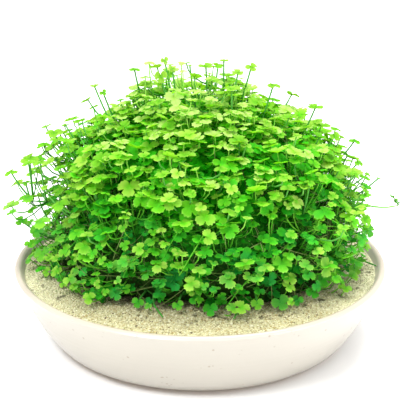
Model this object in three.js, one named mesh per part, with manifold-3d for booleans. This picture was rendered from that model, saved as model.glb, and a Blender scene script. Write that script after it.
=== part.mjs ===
// A bush of three-lobed pennywort that has overgrown a low round pot of sand.
// The pot, the sand, the bush, each runner and each leaf that stands clear of the bush is a closed
// solid of its own.
// Millimetres, +Z up, origin at the middle of the pot's flat foot. The bush is viewed from -Y.

import * as THREE from "three";
import { ConvexGeometry } from "three/addons/geometries/ConvexGeometry.js";
import { mergeVertices } from "three/addons/utils/BufferGeometryUtils.js";
import Module from "manifold-3d";

const wasm = await Module();
wasm.setup();

// Pot: a plain bowl with a flat foot and a rounded lip
const POT_RIM_RADIUS = 113;
const POT_FOOT_RADIUS = 84;
const POT_HEIGHT = 46;
const POT_WALL = 4.5;
const POT_FLOOR = 5;
const POT_FLARE = 0.6;
const POT_EDGE = 1.5;
const POT_OUTSIDE_LEVELS = [4, 16, 30, POT_HEIGHT - POT_EDGE];
const POT_INSIDE_LEVELS = [POT_HEIGHT - POT_EDGE, 24, POT_FLOOR];
const ROUND_SEGMENTS = 40;

// Sand
const SAND_LEVEL = 42;
const SAND_DIP = 1.4;
const SAND_HOLLOWS = 90;
const SAND_RINGS = [103, 96, 60];
const SAND_WALL_LEVELS = [24, SAND_LEVEL - SAND_DIP];
const FIT_GAP = 0.3;

// Bush: a domed mass of leaves, widest a little above the sand
const BUSH_SET_BACK = 12;
const BUSH_HALF_WIDTH = 100;
const BUSH_HALF_DEPTH = 92;
const BUSH_HEIGHT = 116;
const BUSH_WAIST = 26;
const BUSH_TUCK = 0.08;
const BUSH_TAPER = 0.06;
const BUSH_CROWN = { from: 0.55, full: 0.8, share: 0.28 };
const BUSH_LEAN = 6;
const BUSH_FULLNESS = 0.05;
const LOOSE_SIDE = { azimuth: 270, rise: 16, width: 35, height: 14, share: 0.17 };
const SKIRT_ANGLE = 20;
const SKIRT_SHARE = 0.2;
const MASS_INSET = 4;
const MASS_RELIEF = 4;
const OPEN_RISE = 50;
const OPEN_BAND = 22;
const OPEN_DEPTH = 12;
const MASS_POINTS = 500;
const MASS_FOOT_POINTS = 44;
const MASS_LOWEST = -0.8 * SKIRT_SHARE;
const GOLDEN_ANGLE = 137.508;

// A leaf's blade
const BLADE_THICKNESS = 1.2;
const BLADE_DISH = 0.16;
const LOBE_SPREAD = 92;
const LOBE_HALF_ANGLE = 34;
const LOBE_TEETH = 3;
const SIDE_LOBE = 0.92;
const LOBE_ROUNDING = 0.12;
const NOTCH = 0.52;
const SLIT = 0.14;

// Stalks: a slender one under each clear leaf, and a stub that roots each leaf of the surface in the mass
const STALK = { radius: 0.5, steps: 3 };
const STALK_INSIDE = 4;
const STALK_BEND = 0.12;
const STUB = { radius: 0.9, steps: 1 };
const STUB_DEPTH = 12;

// Leaves of the surface. They face up at the top of the bush and outwards at its foot.
const SURFACE_LEAVES = 123;
const SURFACE_LOWEST = -0.5 * SKIRT_SHARE;
const SURFACE_PROUD = 1;
const SURFACE_REACH = 6.8;
const REACH_SPREAD = 0.16;
const TILT_AT_WAIST = 66;
const TILT_FALL = 0.6;
const TURN_SPREAD = 60;
const LEAF_CLEARANCE = 2;

// Clear leaves round the back
const BACK_LEAVES = 10;
const BACK_START = 112;
const BACK_STEP = 15.2;
const BACK_RISES = [2, 40, 18, 58];
const BACK_PROUD = 7;
const BACK_LIFT = 5;
const BACK_TILT = 30;
const BACK_REACH = 5;
const BACK_DROP = 22;
const BACK_PULL = 0.72;

// Runners
const RUNNER_RADIUS = 0.8;
const RUNNER_SIDES = 6;
const RUNNER_STEPS = 5;

const UP = new THREE.Vector3(0, 0, 1);
const { degToRad, smoothstep } = THREE.MathUtils;

const glazed = new THREE.MeshStandardMaterial({ color: 0xe9e6dd, roughness: 0.45, metalness: 0 });
const sandy = new THREE.MeshStandardMaterial({ color: 0xd3c39a, roughness: 1, metalness: 0 });
const shaded = new THREE.MeshStandardMaterial({ color: 0x2c9a1a, roughness: 0.6, metalness: 0 });
const sunlit = new THREE.MeshStandardMaterial({ color: 0x9bdc35, roughness: 0.55, metalness: 0 });
const stemmy = new THREE.MeshStandardMaterial({ color: 0x86a35c, roughness: 0.6, metalness: 0 });

function solidOf(geometry) {
  const bare = geometry.clone();
  bare.deleteAttribute("normal");
  bare.deleteAttribute("uv");
  const merged = mergeVertices(bare, 1e-4);
  return new wasm.Manifold(
    new wasm.Mesh({
      numProp: 3,
      vertProperties: merged.attributes.position.array,
      triVerts: new Uint32Array(merged.index.array),
    }),
  );
}

function geometryOf(solid) {
  const { vertProperties, triVerts } = solid.getMesh();
  const geometry = new THREE.BufferGeometry();
  geometry.setAttribute("position", new THREE.BufferAttribute(new Float32Array(vertProperties), 3));
  geometry.setIndex(new THREE.BufferAttribute(new Uint32Array(triVerts), 1));
  geometry.computeVertexNormals();
  return geometry;
}

function piece(name, geometry, material) {
  const mesh = new THREE.Mesh(geometry, material.clone());
  mesh.name = name;
  return mesh;
}

function closedMesh(points, triangles) {
  const geometry = new THREE.BufferGeometry().setFromPoints(points);
  geometry.setIndex(triangles);
  return geometry;
}

// Pot and sand

function potRadius(height) {
  const share = Math.max(height, 0) / POT_HEIGHT;
  return POT_FOOT_RADIUS + (POT_RIM_RADIUS - POT_FOOT_RADIUS) * share ** POT_FLARE;
}

function potGeometry() {
  const outside = POT_OUTSIDE_LEVELS.map((z) => new THREE.Vector2(potRadius(z), z));
  const inside = POT_INSIDE_LEVELS.map((z) => new THREE.Vector2(potRadius(z) - POT_WALL, z));
  return new THREE.LatheGeometry(
    [
      new THREE.Vector2(0, 0),
      new THREE.Vector2(POT_FOOT_RADIUS, 0),
      ...outside,
      new THREE.Vector2(POT_RIM_RADIUS - POT_EDGE, POT_HEIGHT),
      new THREE.Vector2(POT_RIM_RADIUS - POT_WALL + POT_EDGE, POT_HEIGHT),
      ...inside,
      new THREE.Vector2(0, POT_FLOOR),
    ],
    ROUND_SEGMENTS,
  );
}

// The sand lies level under the bush and dips in shallow hollows between the bush and the lip
function sandGeometry() {
  const bottom = POT_FLOOR + FIT_GAP;
  const wall = [bottom, ...SAND_WALL_LEVELS].map(
    (z) => new THREE.Vector2(potRadius(z) - POT_WALL - FIT_GAP, z),
  );
  const surface = SAND_RINGS.map((radius) => new THREE.Vector2(radius, SAND_LEVEL));
  const geometry = new THREE.LatheGeometry(
    [new THREE.Vector2(0, bottom), ...wall, ...surface, new THREE.Vector2(0, SAND_LEVEL)],
    ROUND_SEGMENTS,
  );
  const positions = geometry.attributes.position;
  for (let i = 0; i < positions.count; i++) {
    const [x, y, z] = [positions.getX(i), positions.getY(i), positions.getZ(i)];
    if (y === SAND_LEVEL && Math.hypot(x, z) > SAND_HOLLOWS) {
      const share = Math.round((Math.atan2(x, z) / (2 * Math.PI)) * ROUND_SEGMENTS) / ROUND_SEGMENTS;
      const angle = 2 * Math.PI * share;
      const hollow = 0.5 + 0.3 * Math.sin(3 * angle) + 0.2 * Math.sin(5 * angle + 1);
      positions.setY(i, SAND_LEVEL - SAND_DIP * hollow);
    }
  }
  return geometry;
}

// Bush

// A point of the bush's leafy outside. azimuth is 0 at the front and 90 on the right. rise is 90 at
// the top, 0 at the widest level and -SKIRT_ANGLE at the sand. Over its shoulders the bush narrows to
// a crown that leans to the left, and its foot is fullest between front and side. On its loose side
// the mass lies further in, under sprays of leaves.
function canopy(azimuth, rise, inset = 0) {
  const a = degToRad(azimuth);
  const tuck = Math.max(-rise, 0) / SKIRT_ANGLE;
  const level = Math.cos(degToRad(Math.max(rise, 0)));
  const lift = Math.sin(degToRad(Math.max(rise, 0)));
  const crown = BUSH_CROWN.share * smoothstep(lift, BUSH_CROWN.from, BUSH_CROWN.full);
  const taper = 2 * BUSH_TAPER * lift * level + crown;
  const { azimuth: side, rise: middle, width, height: tall, share } = LOOSE_SIDE;
  const loose = share * Math.exp(-(((azimuth - side) / width) ** 2) - ((rise - middle) / tall) ** 2);
  const swell =
    0.03 * Math.sin(3 * a + 0.8) +
    0.025 * Math.sin(5 * a + 2.1 + rise / 30) +
    0.02 * Math.sin(7 * a + rise / 14) +
    BUSH_FULLNESS * level * Math.sin(2 * a) ** 2;
  const spread = level * (1 - taper) * (1 - loose) * (1 - BUSH_TUCK * tuck ** 2) * (1 + level * swell);
  const height =
    rise < 0
      ? BUSH_WAIST * (1 - tuck)
      : BUSH_WAIST + (BUSH_HEIGHT - BUSH_WAIST - inset) * Math.sin(degToRad(rise));
  return new THREE.Vector3(
    (BUSH_HALF_WIDTH - inset) * spread * Math.sin(a) - BUSH_LEAN * lift ** 4,
    -(BUSH_HALF_DEPTH - inset) * spread * Math.cos(a),
    height,
  );
}

// How open the bush stands at its top, between 0 and 1: there the leaves stand on bare stalks over
// the mass
function openness(rise) {
  return Math.min(Math.max((rise - OPEN_RISE) / OPEN_BAND, 0), 1);
}

// Which way the bush's outside faces at a point of it
function outward(place) {
  return new THREE.Vector3(
    place.x / BUSH_HALF_WIDTH ** 2,
    place.y / BUSH_HALF_DEPTH ** 2,
    Math.max(place.z - BUSH_WAIST, 0) / (BUSH_HEIGHT - BUSH_WAIST) ** 2,
  ).normalize();
}

// An even scatter between -1 and 1 that is the same for the same pair of whole numbers
function scatter(a, b) {
  const wave = Math.sin(a * 12.9898 + b * 78.233) * 43758.5453;
  return 2 * (wave - Math.floor(wave)) - 1;
}

// Even places over the bush's outside as [azimuth, rise], on a golden-angle spiral from the skirt to
// the top
function spiral(count, lowest) {
  return Array.from({ length: count }, (_, i) => {
    const share = lowest + ((1 - lowest) * (i + 0.5)) / count;
    const rise = share < 0 ? (share / SKIRT_SHARE) * SKIRT_ANGLE : (Math.asin(share) * 180) / Math.PI;
    return [(i * GOLDEN_ANGLE) % 360, rise];
  });
}

// The dense mass of leaves and stems. Its points lie evenly over a ball that is cut off at the sand.
// Each is then moved to the bush's outside, in or out of it by about half a leaf, so the mass is
// rough with leaf-sized facets.
function massSolid(grow) {
  const foot = Array.from({ length: MASS_FOOT_POINTS }, (_, i) => {
    return [(i * 360) / MASS_FOOT_POINTS, -SKIRT_ANGLE];
  });
  const spots = [...foot, ...spiral(MASS_POINTS, MASS_LOWEST)].map(([azimuth, rise], i) => {
    const [a, b] = [degToRad(azimuth), degToRad(rise)];
    const onBall = new THREE.Vector3(Math.sin(a) * Math.cos(b), -Math.cos(a) * Math.cos(b), Math.sin(b));
    const inset = MASS_INSET + OPEN_DEPTH * openness(rise) + MASS_RELIEF * scatter(i, 1);
    const outside = canopy(azimuth, rise, inset - grow);
    if (i < MASS_FOOT_POINTS) outside.z = FIT_GAP - grow;
    return { onBall, outside };
  });
  const geometry = new ConvexGeometry(spots.map(({ onBall }) => onBall));
  const positions = geometry.attributes.position;
  for (let i = 0; i < positions.count; i++) {
    const corner = new THREE.Vector3().fromBufferAttribute(positions, i);
    const gap = ({ onBall }) => onBall.distanceTo(corner);
    const { outside } = spots.reduce((nearest, spot) => (gap(spot) < gap(nearest) ? spot : nearest));
    positions.setXYZ(i, outside.x, outside.y, outside.z);
  }
  return solidOf(geometry);
}

// Leaves

// Outline of a blade about the point where its stalk meets it: three lobes, each with blunt teeth, a
// deep notch between lobes and a slit at the back. The middle lobe points along +Y.
function bladeOutline(reach) {
  const points = [];
  for (const lobe of [-LOBE_SPREAD, 0, LOBE_SPREAD]) {
    for (let tooth = 0; tooth < LOBE_TEETH; tooth++) {
      const across = (tooth / (LOBE_TEETH - 1)) * 2 - 1;
      const length = reach * (lobe === 0 ? 1 : SIDE_LOBE) * (1 - LOBE_ROUNDING * across ** 2);
      points.push([lobe + across * LOBE_HALF_ANGLE, length]);
    }
    points.push([lobe + LOBE_SPREAD / 2, reach * NOTCH]);
  }
  points[points.length - 1] = [180, reach * SLIT];
  return points.map(([angle, length]) => {
    const a = degToRad(angle);
    return { x: Math.sin(a) * length, y: Math.cos(a) * length, angle };
  });
}

// Turns a blade that lies level at the origin so that it faces `normal` with its middle lobe
// towards `heading`
function bladeFrame({ place, normal, heading }) {
  const side = new THREE.Vector3().crossVectors(heading, normal).normalize();
  const ahead = new THREE.Vector3().crossVectors(normal, side);
  return new THREE.Matrix4().makeBasis(side, ahead, normal).setPosition(place);
}

// A leaf as one closed solid: a dished blade that thins to nothing at its rim, on a three-sided
// stalk that follows `stalk` from its root to the blade
function leafSolid(leaf, { radius, steps }, grow = 0) {
  const turned = bladeFrame(leaf);
  const half = BLADE_THICKNESS / 2 + grow;
  const outline = bladeOutline(leaf.reach + grow);
  const rim = outline.map(({ x, y, angle }) => ({
    point: new THREE.Vector3(x, y, BLADE_DISH * (Math.hypot(x, y) - leaf.reach)).applyMatrix4(turned),
    corner: Math.min(Math.floor((angle + 180) / 120), 2),
  }));
  const middle = -BLADE_DISH * leaf.reach;
  const top = new THREE.Vector3(0, 0, middle + half).applyMatrix4(turned);
  const side = new THREE.Vector3().setFromMatrixColumn(turned, 0);
  const points = [...rim.map(({ point }) => point), top];
  const rings = rim.length + 1;
  for (let step = 0; step <= steps; step++) {
    const share = 1 - step / steps;
    const along = step ? leaf.stalk.getTangent(share) : leaf.normal;
    const across = side.clone().addScaledVector(along, -side.dot(along)).normalize();
    const third = new THREE.Vector3().crossVectors(along, across);
    const middlePoint = step
      ? leaf.stalk.getPoint(share)
      : new THREE.Vector3(0, 0, middle - half).applyMatrix4(turned);
    for (const angle of [-120, 0, 120]) {
      const a = degToRad(angle);
      points.push(
        middlePoint
          .clone()
          .addScaledVector(across, Math.sin(a) * (radius + grow))
          .addScaledVector(third, Math.cos(a) * (radius + grow)),
      );
    }
  }
  const triangles = [];
  rim.forEach(({ corner }, i) => {
    const next = (i + 1) % rim.length;
    triangles.push(rim.length, next, i);
    triangles.push(rings + corner, i, next);
    if (rim[next].corner !== corner) triangles.push(rings + corner, next, rings + rim[next].corner);
  });
  for (let step = 0; step < steps; step++) {
    for (let corner = 0; corner < 3; corner++) {
      const [near, beside] = [rings + 3 * step + corner, rings + 3 * step + ((corner + 1) % 3)];
      triangles.push(near, beside, beside + 3);
      triangles.push(near, beside + 3, near + 3);
    }
  }
  const end = rings + 3 * steps;
  triangles.push(end, end + 1, end + 2);
  return solidOf(closedMesh(points, triangles));
}

function rodSolid(path, radius, sides, steps) {
  const section = new THREE.Shape();
  for (let i = 0; i < sides; i++) {
    const angle = (i / sides) * 2 * Math.PI;
    const [x, y] = [radius * Math.cos(angle), radius * Math.sin(angle)];
    if (i === 0) section.moveTo(x, y);
    else section.lineTo(x, y);
  }
  section.closePath();
  return solidOf(new THREE.ExtrudeGeometry(section, { extrudePath: path, steps }));
}

function azimuthOf(place) {
  return (Math.atan2(place.x, -place.y) * 180) / Math.PI;
}

// How a blade lies: tilted by `tilt` degrees towards an azimuth, with its middle lobe `turn` degrees
// from there
function lie(azimuth, tilt, turn) {
  const a = degToRad(azimuth);
  const out = new THREE.Vector3(Math.sin(a), -Math.cos(a), 0);
  const across = new THREE.Vector3().crossVectors(out, UP);
  const normal = UP.clone().applyAxisAngle(across, -degToRad(tilt));
  const heading = out.clone().applyAxisAngle(across, -degToRad(tilt));
  heading.applyAxisAngle(normal, degToRad(turn));
  return { normal, heading };
}

// Leaves that stand clear of the bush, in the bush's own frame: the place of the blade, the root of
// its stalk, its reach, how far it tilts, the azimuth that it tilts towards, and how far its middle
// lobe turns from there. The first sixteen go from the top down the left side to the sand, the next
// fourteen from the top down the right side, and the last ten along the foot from right to left.
const CLEAR_LEAVES = [
  [[-20.5, -6, 123.5], [-14, -3, 92], 2.7, 68, 0, 20],
  [[-16, -10, 119.5], [-12, -4, 91], 2.1, 60, 20, -30],
  [[-22.5, -14, 116], [-16, -6, 88], 4.4, 62, -10, 10],
  [[-38.5, 0, 117.5], [-31, 0, 84], 3.9, 4, 0, 60],
  [[-62, -2, 107.5], [-46, -2, 72], 4.2, 8, -90, -20],
  [[-56.5, -8, 105], [-44, -5, 74], 2.4, 48, 0, 40],
  [[-80.5, -2, 84.5], [-62, -2, 58], 1.8, 20, -90, 0],
  [[-87, -4, 80], [-68, -3, 48], 5.5, 14, -30, 30],
  [[-102, -6, 65], [-98.6, -11.5, 41.4], 6.4, 20, -20, -30],
  [[-114, -4, 55.5], [-101.2, -11.5, 41.5], 4.7, 12, -60, 15],
  [[-104.5, -10, 50.5], [-103.8, -11.5, 41.2], 2.7, 24, -40, 40],
  [[-106, -22, 30.5], [-84, -19, 16], 4.3, 28, -20, -20],
  [[-97, -26, 26], [-78, -20, 18], 4.9, 60, -20, 10],
  [[-93, -34, 14.5], [-74, -26, 11], 5.8, 48, -40, 30],
  [[-81, -46, 5], [-68, -36, 3.6], 3.9, 50, -20, 10],
  [[-70.5, -60, 4.5], [-60, -50, 3.6], 4.1, 46, 0, 30],
  [[-6, 2, 119], [-2, 2, 90], 1.8, 6, 0, 10],
  [[3.5, -2, 119.5], [5, 0, 89], 4.8, 8, 10, 30],
  [[14, 2, 122], [14, 2, 89], 3.3, 3, 0, -40],
  [[22, -8, 117], [16, -5, 87], 3.9, 20, 0, -60],
  [[30, -2, 119], [20, 1, 86], 3.9, 34, 10, 20],
  [[43, -4, 109], [32, -4, 76], 4.8, 10, 40, 30],
  [[68.5, 0, 94.5], [52, -1, 60], 5.2, 5, 0, -50],
  [[79.5, -10, 79], [60, -8, 52], 3.6, 42, 20, 20],
  [[93, 0, 74], [68, -2, 46], 4, 12, 60, -20],
  [[95, -6, 62], [70, -6, 40], 3.4, 32, 40, 30],
  [[101, -4, 54], [80, -4, 40], 2.5, 30, 60, 0],
  [[108, -4, 51.5], [80, -4, 32], 1.9, 18, 90, -10],
  [[101, -18, 23.5], [80, -13, 17], 5.6, 64, 50, 0],
  [[91, -39, 7], [76, -29, 10], 4.5, 58, 10, 20],
  [[69, -63, 11], [60, -54, 9], 5.6, 38, 10, 0],
  [[63, -71, 6.5], [54, -60, 9], 4.3, 52, 0, 25],
  [[54, -77, 4.5], [50, -68, 3.8], 3.7, 36, 0, -20],
  [[44, -83, 5.5], [38, -74, 5], 5.2, 46, 10, 20],
  [[31, -88, 7], [30, -77, 9], 3.7, 60, 0, 10],
  [[5.5, -90, 5], [6.5, -79, 4.5], 4.5, 44, -10, 10],
  [[-12, -89, 6.5], [-10, -78, 8], 3.1, 58, 0, 20],
  [[-34, -82, 5], [-30, -72, 7], 3.4, 60, 0, -15],
  [[-46.5, -77, 8], [-42, -67, 9.5], 4.3, 58, 0, 25],
  [[-59, -70, 6], [-48, -56, 6], 3.5, 46, -10, -10],
];

function clearLeaves() {
  const named = CLEAR_LEAVES.map(([place, root, reach, tilt, azimuth, turn]) => ({
    place: new THREE.Vector3(...place),
    root: new THREE.Vector3(...root),
    reach,
    ...lie(azimuth, tilt, turn),
  }));
  for (let i = 0; i < BACK_LEAVES; i++) {
    const azimuth = BACK_START + i * BACK_STEP;
    const place = canopy(azimuth, BACK_RISES[i % BACK_RISES.length], -BACK_PROUD);
    place.z += BACK_LIFT;
    const root = new THREE.Vector3(place.x * BACK_PULL, place.y * BACK_PULL, place.z - BACK_DROP);
    root.z = Math.max(root.z, STALK_INSIDE);
    const reach = BACK_REACH * (1 + REACH_SPREAD * scatter(i, 4));
    named.push({ place, root, reach, ...lie(azimuth, BACK_TILT, TURN_SPREAD * scatter(i, 5)) });
  }
  return named;
}

// The stalk curves from its root to its blade: it sags on its way up, or arches over on its way down
function stalkPath({ place, root }) {
  const bend = root.clone().lerp(place, 0.5);
  bend.z -= STALK_BEND * root.distanceTo(place) * Math.sign(place.z - root.z);
  return new THREE.QuadraticBezierCurve3(root, bend, place);
}

function largest(solid) {
  return solid.decompose().reduce((a, b) => (b.volume() > a.volume() ? b : a));
}

// Leaves of the bush's surface, with room left for the clear ones
function surfaceLeaves(clear) {
  return spiral(SURFACE_LEAVES, SURFACE_LOWEST)
    .map(([azimuth, rise], i) => {
      const place = canopy(azimuth, rise, -SURFACE_PROUD);
      const reach = SURFACE_REACH * (1 + REACH_SPREAD * scatter(i, 2));
      const depth = STUB_DEPTH + OPEN_DEPTH * openness(rise);
      const root = place.clone().addScaledVector(outward(place), -depth);
      const lying = lie(azimuthOf(place), TILT_AT_WAIST - TILT_FALL * rise, TURN_SPREAD * scatter(i, 3));
      return { place, ...lying, reach, stalk: new THREE.LineCurve3(root, place) };
    })
    .filter(({ place, reach }) =>
      clear.every((leaf) => leaf.place.distanceTo(place) > leaf.reach + reach + LEAF_CLEARANCE),
    );
}

function bushSolid(leaves, grow = 0) {
  return wasm.Manifold.union([massSolid(grow), ...leaves.map((leaf) => leafSolid(leaf, STUB, grow))]);
}

// Runners: stems that creep out of the bush, by their points in the bush's own frame
const RUNNERS = {
  runner_left: [[-80, -10, 36], [-92, -11.5, 38.5], [-100.5, -12, 39.5], [-107, -12, 39]],
  runner_right: [[84, -8, 34], [100, -12, 36.5], [111, -12, 35], [119, -12, 36.5]],
  runner_right_low: [[84, -18, 4], [96, -20, 5], [106, -24, 2.2]],
  runner_front_left: [[-26, -74, 6], [-25, -86, 5], [-20, -95, 2.2]],
  runner_front_right: [[20, -76, 6], [22, -88, 5], [18, -97, 2.2]],
  runner_back: [[-30, 76, 8], [-42, 80, 6], [-52, 78, 2.4]],
};

function runnerSolid(points) {
  const path = new THREE.CatmullRomCurve3(points.map((p) => new THREE.Vector3(...p)));
  return rodSolid(path, RUNNER_RADIUS, RUNNER_SIDES, RUNNER_STEPS);
}

const pot = new THREE.Group();
pot.rotation.x = Math.PI / 2;
pot.add(piece("pot", potGeometry(), glazed));
pot.add(piece("sand", sandGeometry(), sandy));

const bush = new THREE.Group();
bush.position.set(0, BUSH_SET_BACK, SAND_LEVEL);
const clear = clearLeaves();
const surface = surfaceLeaves(clear);
const bushRoom = bushSolid(surface, FIT_GAP + 0.1);
bush.add(piece("bush", geometryOf(bushSolid(surface)), shaded));
clear.forEach((leaf, i) => {
  const whole = leafSolid({ ...leaf, stalk: stalkPath(leaf) }, STALK).subtract(bushRoom);
  const name = "leaf_" + String(i + 1).padStart(2, "0");
  bush.add(piece(name, geometryOf(largest(whole)), sunlit));
});
for (const [name, points] of Object.entries(RUNNERS)) {
  bush.add(piece(name, geometryOf(largest(runnerSolid(points).subtract(bushRoom))), stemmy));
}

const plant = new THREE.Group();
plant.add(pot, bush);
export default plant;
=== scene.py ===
"""A bush of three-lobed pennywort that has overgrown a low round pot of sand, dressed for rendering.

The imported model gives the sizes. Everything is in metres, +Z up, from the middle of the pot's foot.
"""

import math

import bmesh
import bpy
import numpy as np
from bpy.props import FloatProperty, FloatVectorProperty, IntProperty, PointerProperty
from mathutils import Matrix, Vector, noise
from mathutils.bvhtree import BVHTree


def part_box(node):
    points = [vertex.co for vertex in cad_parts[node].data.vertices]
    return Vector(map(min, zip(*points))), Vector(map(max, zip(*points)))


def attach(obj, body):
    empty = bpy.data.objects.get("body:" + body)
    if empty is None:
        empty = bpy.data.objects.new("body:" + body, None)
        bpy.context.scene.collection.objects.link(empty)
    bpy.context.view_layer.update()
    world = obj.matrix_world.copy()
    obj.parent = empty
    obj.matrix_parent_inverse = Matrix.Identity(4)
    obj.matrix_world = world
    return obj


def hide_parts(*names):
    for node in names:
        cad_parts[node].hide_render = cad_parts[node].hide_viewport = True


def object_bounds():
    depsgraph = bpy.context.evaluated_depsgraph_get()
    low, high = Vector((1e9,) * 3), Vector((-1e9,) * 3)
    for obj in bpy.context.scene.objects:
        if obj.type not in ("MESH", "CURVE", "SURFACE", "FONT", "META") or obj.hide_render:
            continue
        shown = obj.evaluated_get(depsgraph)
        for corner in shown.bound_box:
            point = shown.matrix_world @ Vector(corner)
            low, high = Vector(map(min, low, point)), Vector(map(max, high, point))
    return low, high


bl_info = {
    "name": "Potted pennywort",
    "version": (1, 0, 0),
    "blender": (4, 5, 0),
    "location": "3D View > Sidebar > Pennywort",
    "description": "Builds a pot of sand, its bush of lobed leaves and a plain stage",
    "category": "Object",
}

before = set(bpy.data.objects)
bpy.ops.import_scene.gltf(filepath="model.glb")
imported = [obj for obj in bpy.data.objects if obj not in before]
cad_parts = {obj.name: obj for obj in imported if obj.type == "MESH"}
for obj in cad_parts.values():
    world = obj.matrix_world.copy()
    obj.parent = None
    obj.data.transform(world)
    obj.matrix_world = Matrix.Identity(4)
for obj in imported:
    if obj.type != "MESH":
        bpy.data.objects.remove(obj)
cad_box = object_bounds()

MM = 0.001
UP = np.array([0.0, 0.0, 1.0])
GOLDEN_ANGLE = 137.508
POT_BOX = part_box("pot")
SAND_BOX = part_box("sand")
SAND_LEVEL = SAND_BOX[1].z

# Bush: the domed form of its solid, widest a little above the sand, loose on its left and open at the top
BUSH_FOOT = np.array([0.0, 12 * MM, SAND_LEVEL])
BUSH_TUCK = 0.08
BUSH_TAPER = 0.06
BUSH_CROWN = 0.28
CROWN_START = 0.55
CROWN_FULL = 0.8
BUSH_LEAN = 6 * MM
BUSH_FULLNESS = 0.07
FOOT_FULLNESS = 0.1
OPEN_RISE = 50
OPEN_BAND = 22
LOOSE_AZIMUTH = 270
LOOSE_RISE = 16
LOOSE_WIDTH = 35
LOOSE_HEIGHT = 14
LOOSE_SHARE = 0.17
SHOULDER_RISE = 44
SHOULDER_BAND = 10
SHOULDER_PULL = 0.005
SKIRT_ANGLE = 20
SKIRT_SHARE = 0.2
LOW_RISE = 16
SKIRT_RISE = -8

# How leaves lie by their rise from the waist, in degrees: their tilt, and the outer ones' spread of it and
# share of the common reach
OUTER_TILT = ((-15, 0, 30, 60), (34, 22, 10, 0))
OUTER_TILT_SPREAD = ((-15, 25, 60), (17, 17, 9))
OUTER_REACH = ((-20, 0, 20, 55), (0.78, 0.92, 1.0, 1.04))
INNER_TILT = ((-20, 0, 40, 90), (36, 26, 16, 6))
SPRIG_TILT = ((0, 40, 90), (24, 14, 3))

# How far young leaves stand out of the bush by their rise: all round, and on its left and right
SPRIG_PROUD = ((0, 35, 50, 70, 90), (0.006, 0.004, 0.002, 0.0028, 0.003))
SIDE_PROUD = ((12, 26), (0.0125, 0.007))
LEFT_RISES = (6, 32)
RIGHT_RISES = (8, 33)

# Least and greatest reach of a blade, and the lift that keeps one clear of the sand
OUTER_LIMITS = (0.0025, 0.0066)
INNER_LIMITS = (0.0032, 0.0068)
SPRIG_LIMITS = (0.002, 0.0062)
SPRIG_REACH = 0.0045
OUTER_LIFT = 0.0015
INNER_LIFT = 0.002

# Depths behind the outside, as the least and the most where they vary
OUTER_DEPTH = 0.012
OUTER_PROUD = 0.0015
OUTER_OPEN_DEPTH = 0.014
INNER_DEPTH = (0.007, 0.019)
INNER_OPEN_DEPTH = 0.011
STEM_TIP_DEPTH = (0.01, 0.02)
TWIG_START_DEPTH = (0.009, 0.022)
TWIG_END_DEPTH = (0.004, 0.016)
WANDERER_START_DEPTH = 0.006
WANDERER_MIDDLE_DEPTH = (-0.004, 0.001)
WANDERER_END_DEPTH = (-0.002, 0.003)
# Depths of the dark shell of painted shade inside the bush
SHADE_TANGLE_DEPTH = 0.017
SHADE_TANGLE_SIDE_DEPTH = 0.016
SHADE_TANGLE_TOP_DEPTH = 0.008

# Sizes of the soft lumps in the form of the outside, in its tones and in its young leaves
FORM_LUMPS = 0.022
TONE_LUMPS = 0.015
SPRIG_LUMPS = 0.03

# Joints that stalks grow from: the common length of a stalk, its least climb, and the luck in the choice
STALK_LENGTH = 0.02
STALK_CLIMB = 0.004
JOINT_LUCK = 0.008

# Wobble of the lines of stems, and how far up a blade lies over the ones below it to paint shade on them
STEM_WOBBLE = 0.0014
TWIG_WOBBLE = 0.004
ROOTLET_WOBBLE = 0.0008
SHADE_START = 0.0008
SHADE_END = 0.02

# Rings along a stalk of the bush, a clear leaf's stalk, a stem and a creeping stem
STALK_RINGS = 5
CLEAR_RINGS = 9
STEM_RINGS = 13
RUNNER_RINGS = 25

# Radii of stems, from root to tip where they taper, and how far stems end over the sand or root under it
STEM_RADII = (0.0008, 0.0004)
TWIG_RADIUS = 0.00025
WANDERER_RADII = (0.00032, 0.00024)
TIE_RADIUS = 0.0005
RUNNER_RADIUS = 0.00056
ROOTLET_RADII = (0.00022, 0.0001)
BUD_STALK_RADIUS = 0.00024
STEM_LIFT = 0.002

# Tones of stems that have one tone
TIE_TONE = 0.4
ROOTLET_TONE = 0.12
BUD_STALK_TONE = 0.8

# Seeds of the random draws
SEEDS = {"stems": 5, "bush": 7, "sand": 11, "joints": 13, "clear_leaves": 23, "rootlets": 31, "buds": 37}

# Blades: the distance of each corner of the outline, from the tip of the middle lobe round to the slit at the
# stalk, in even steps. The lit leaves have blunt teeth and the shaded ones plain lobes.
LIT_OUTLINE = (
    (1.0, 0.88, 0.98, 0.87, 0.8, 0.46)
    + (0.76, 0.94, 0.85, 0.98, 0.88, 1.0, 0.86, 0.95, 0.8, 0.8, 0.6, 0.38, 0.14)
)
SHADED_OUTLINE = (1.0, 0.92, 0.82, 0.62, 0.94, 0.9, 0.98, 0.86, 0.64, 0.14)
SIDE_LOBE = 105
BLADE_DISH = 0.16
BLADE_THICKNESS = 0.06
LOBE_FOLD = 0.13
LOBE_WIDTH = 40

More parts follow.
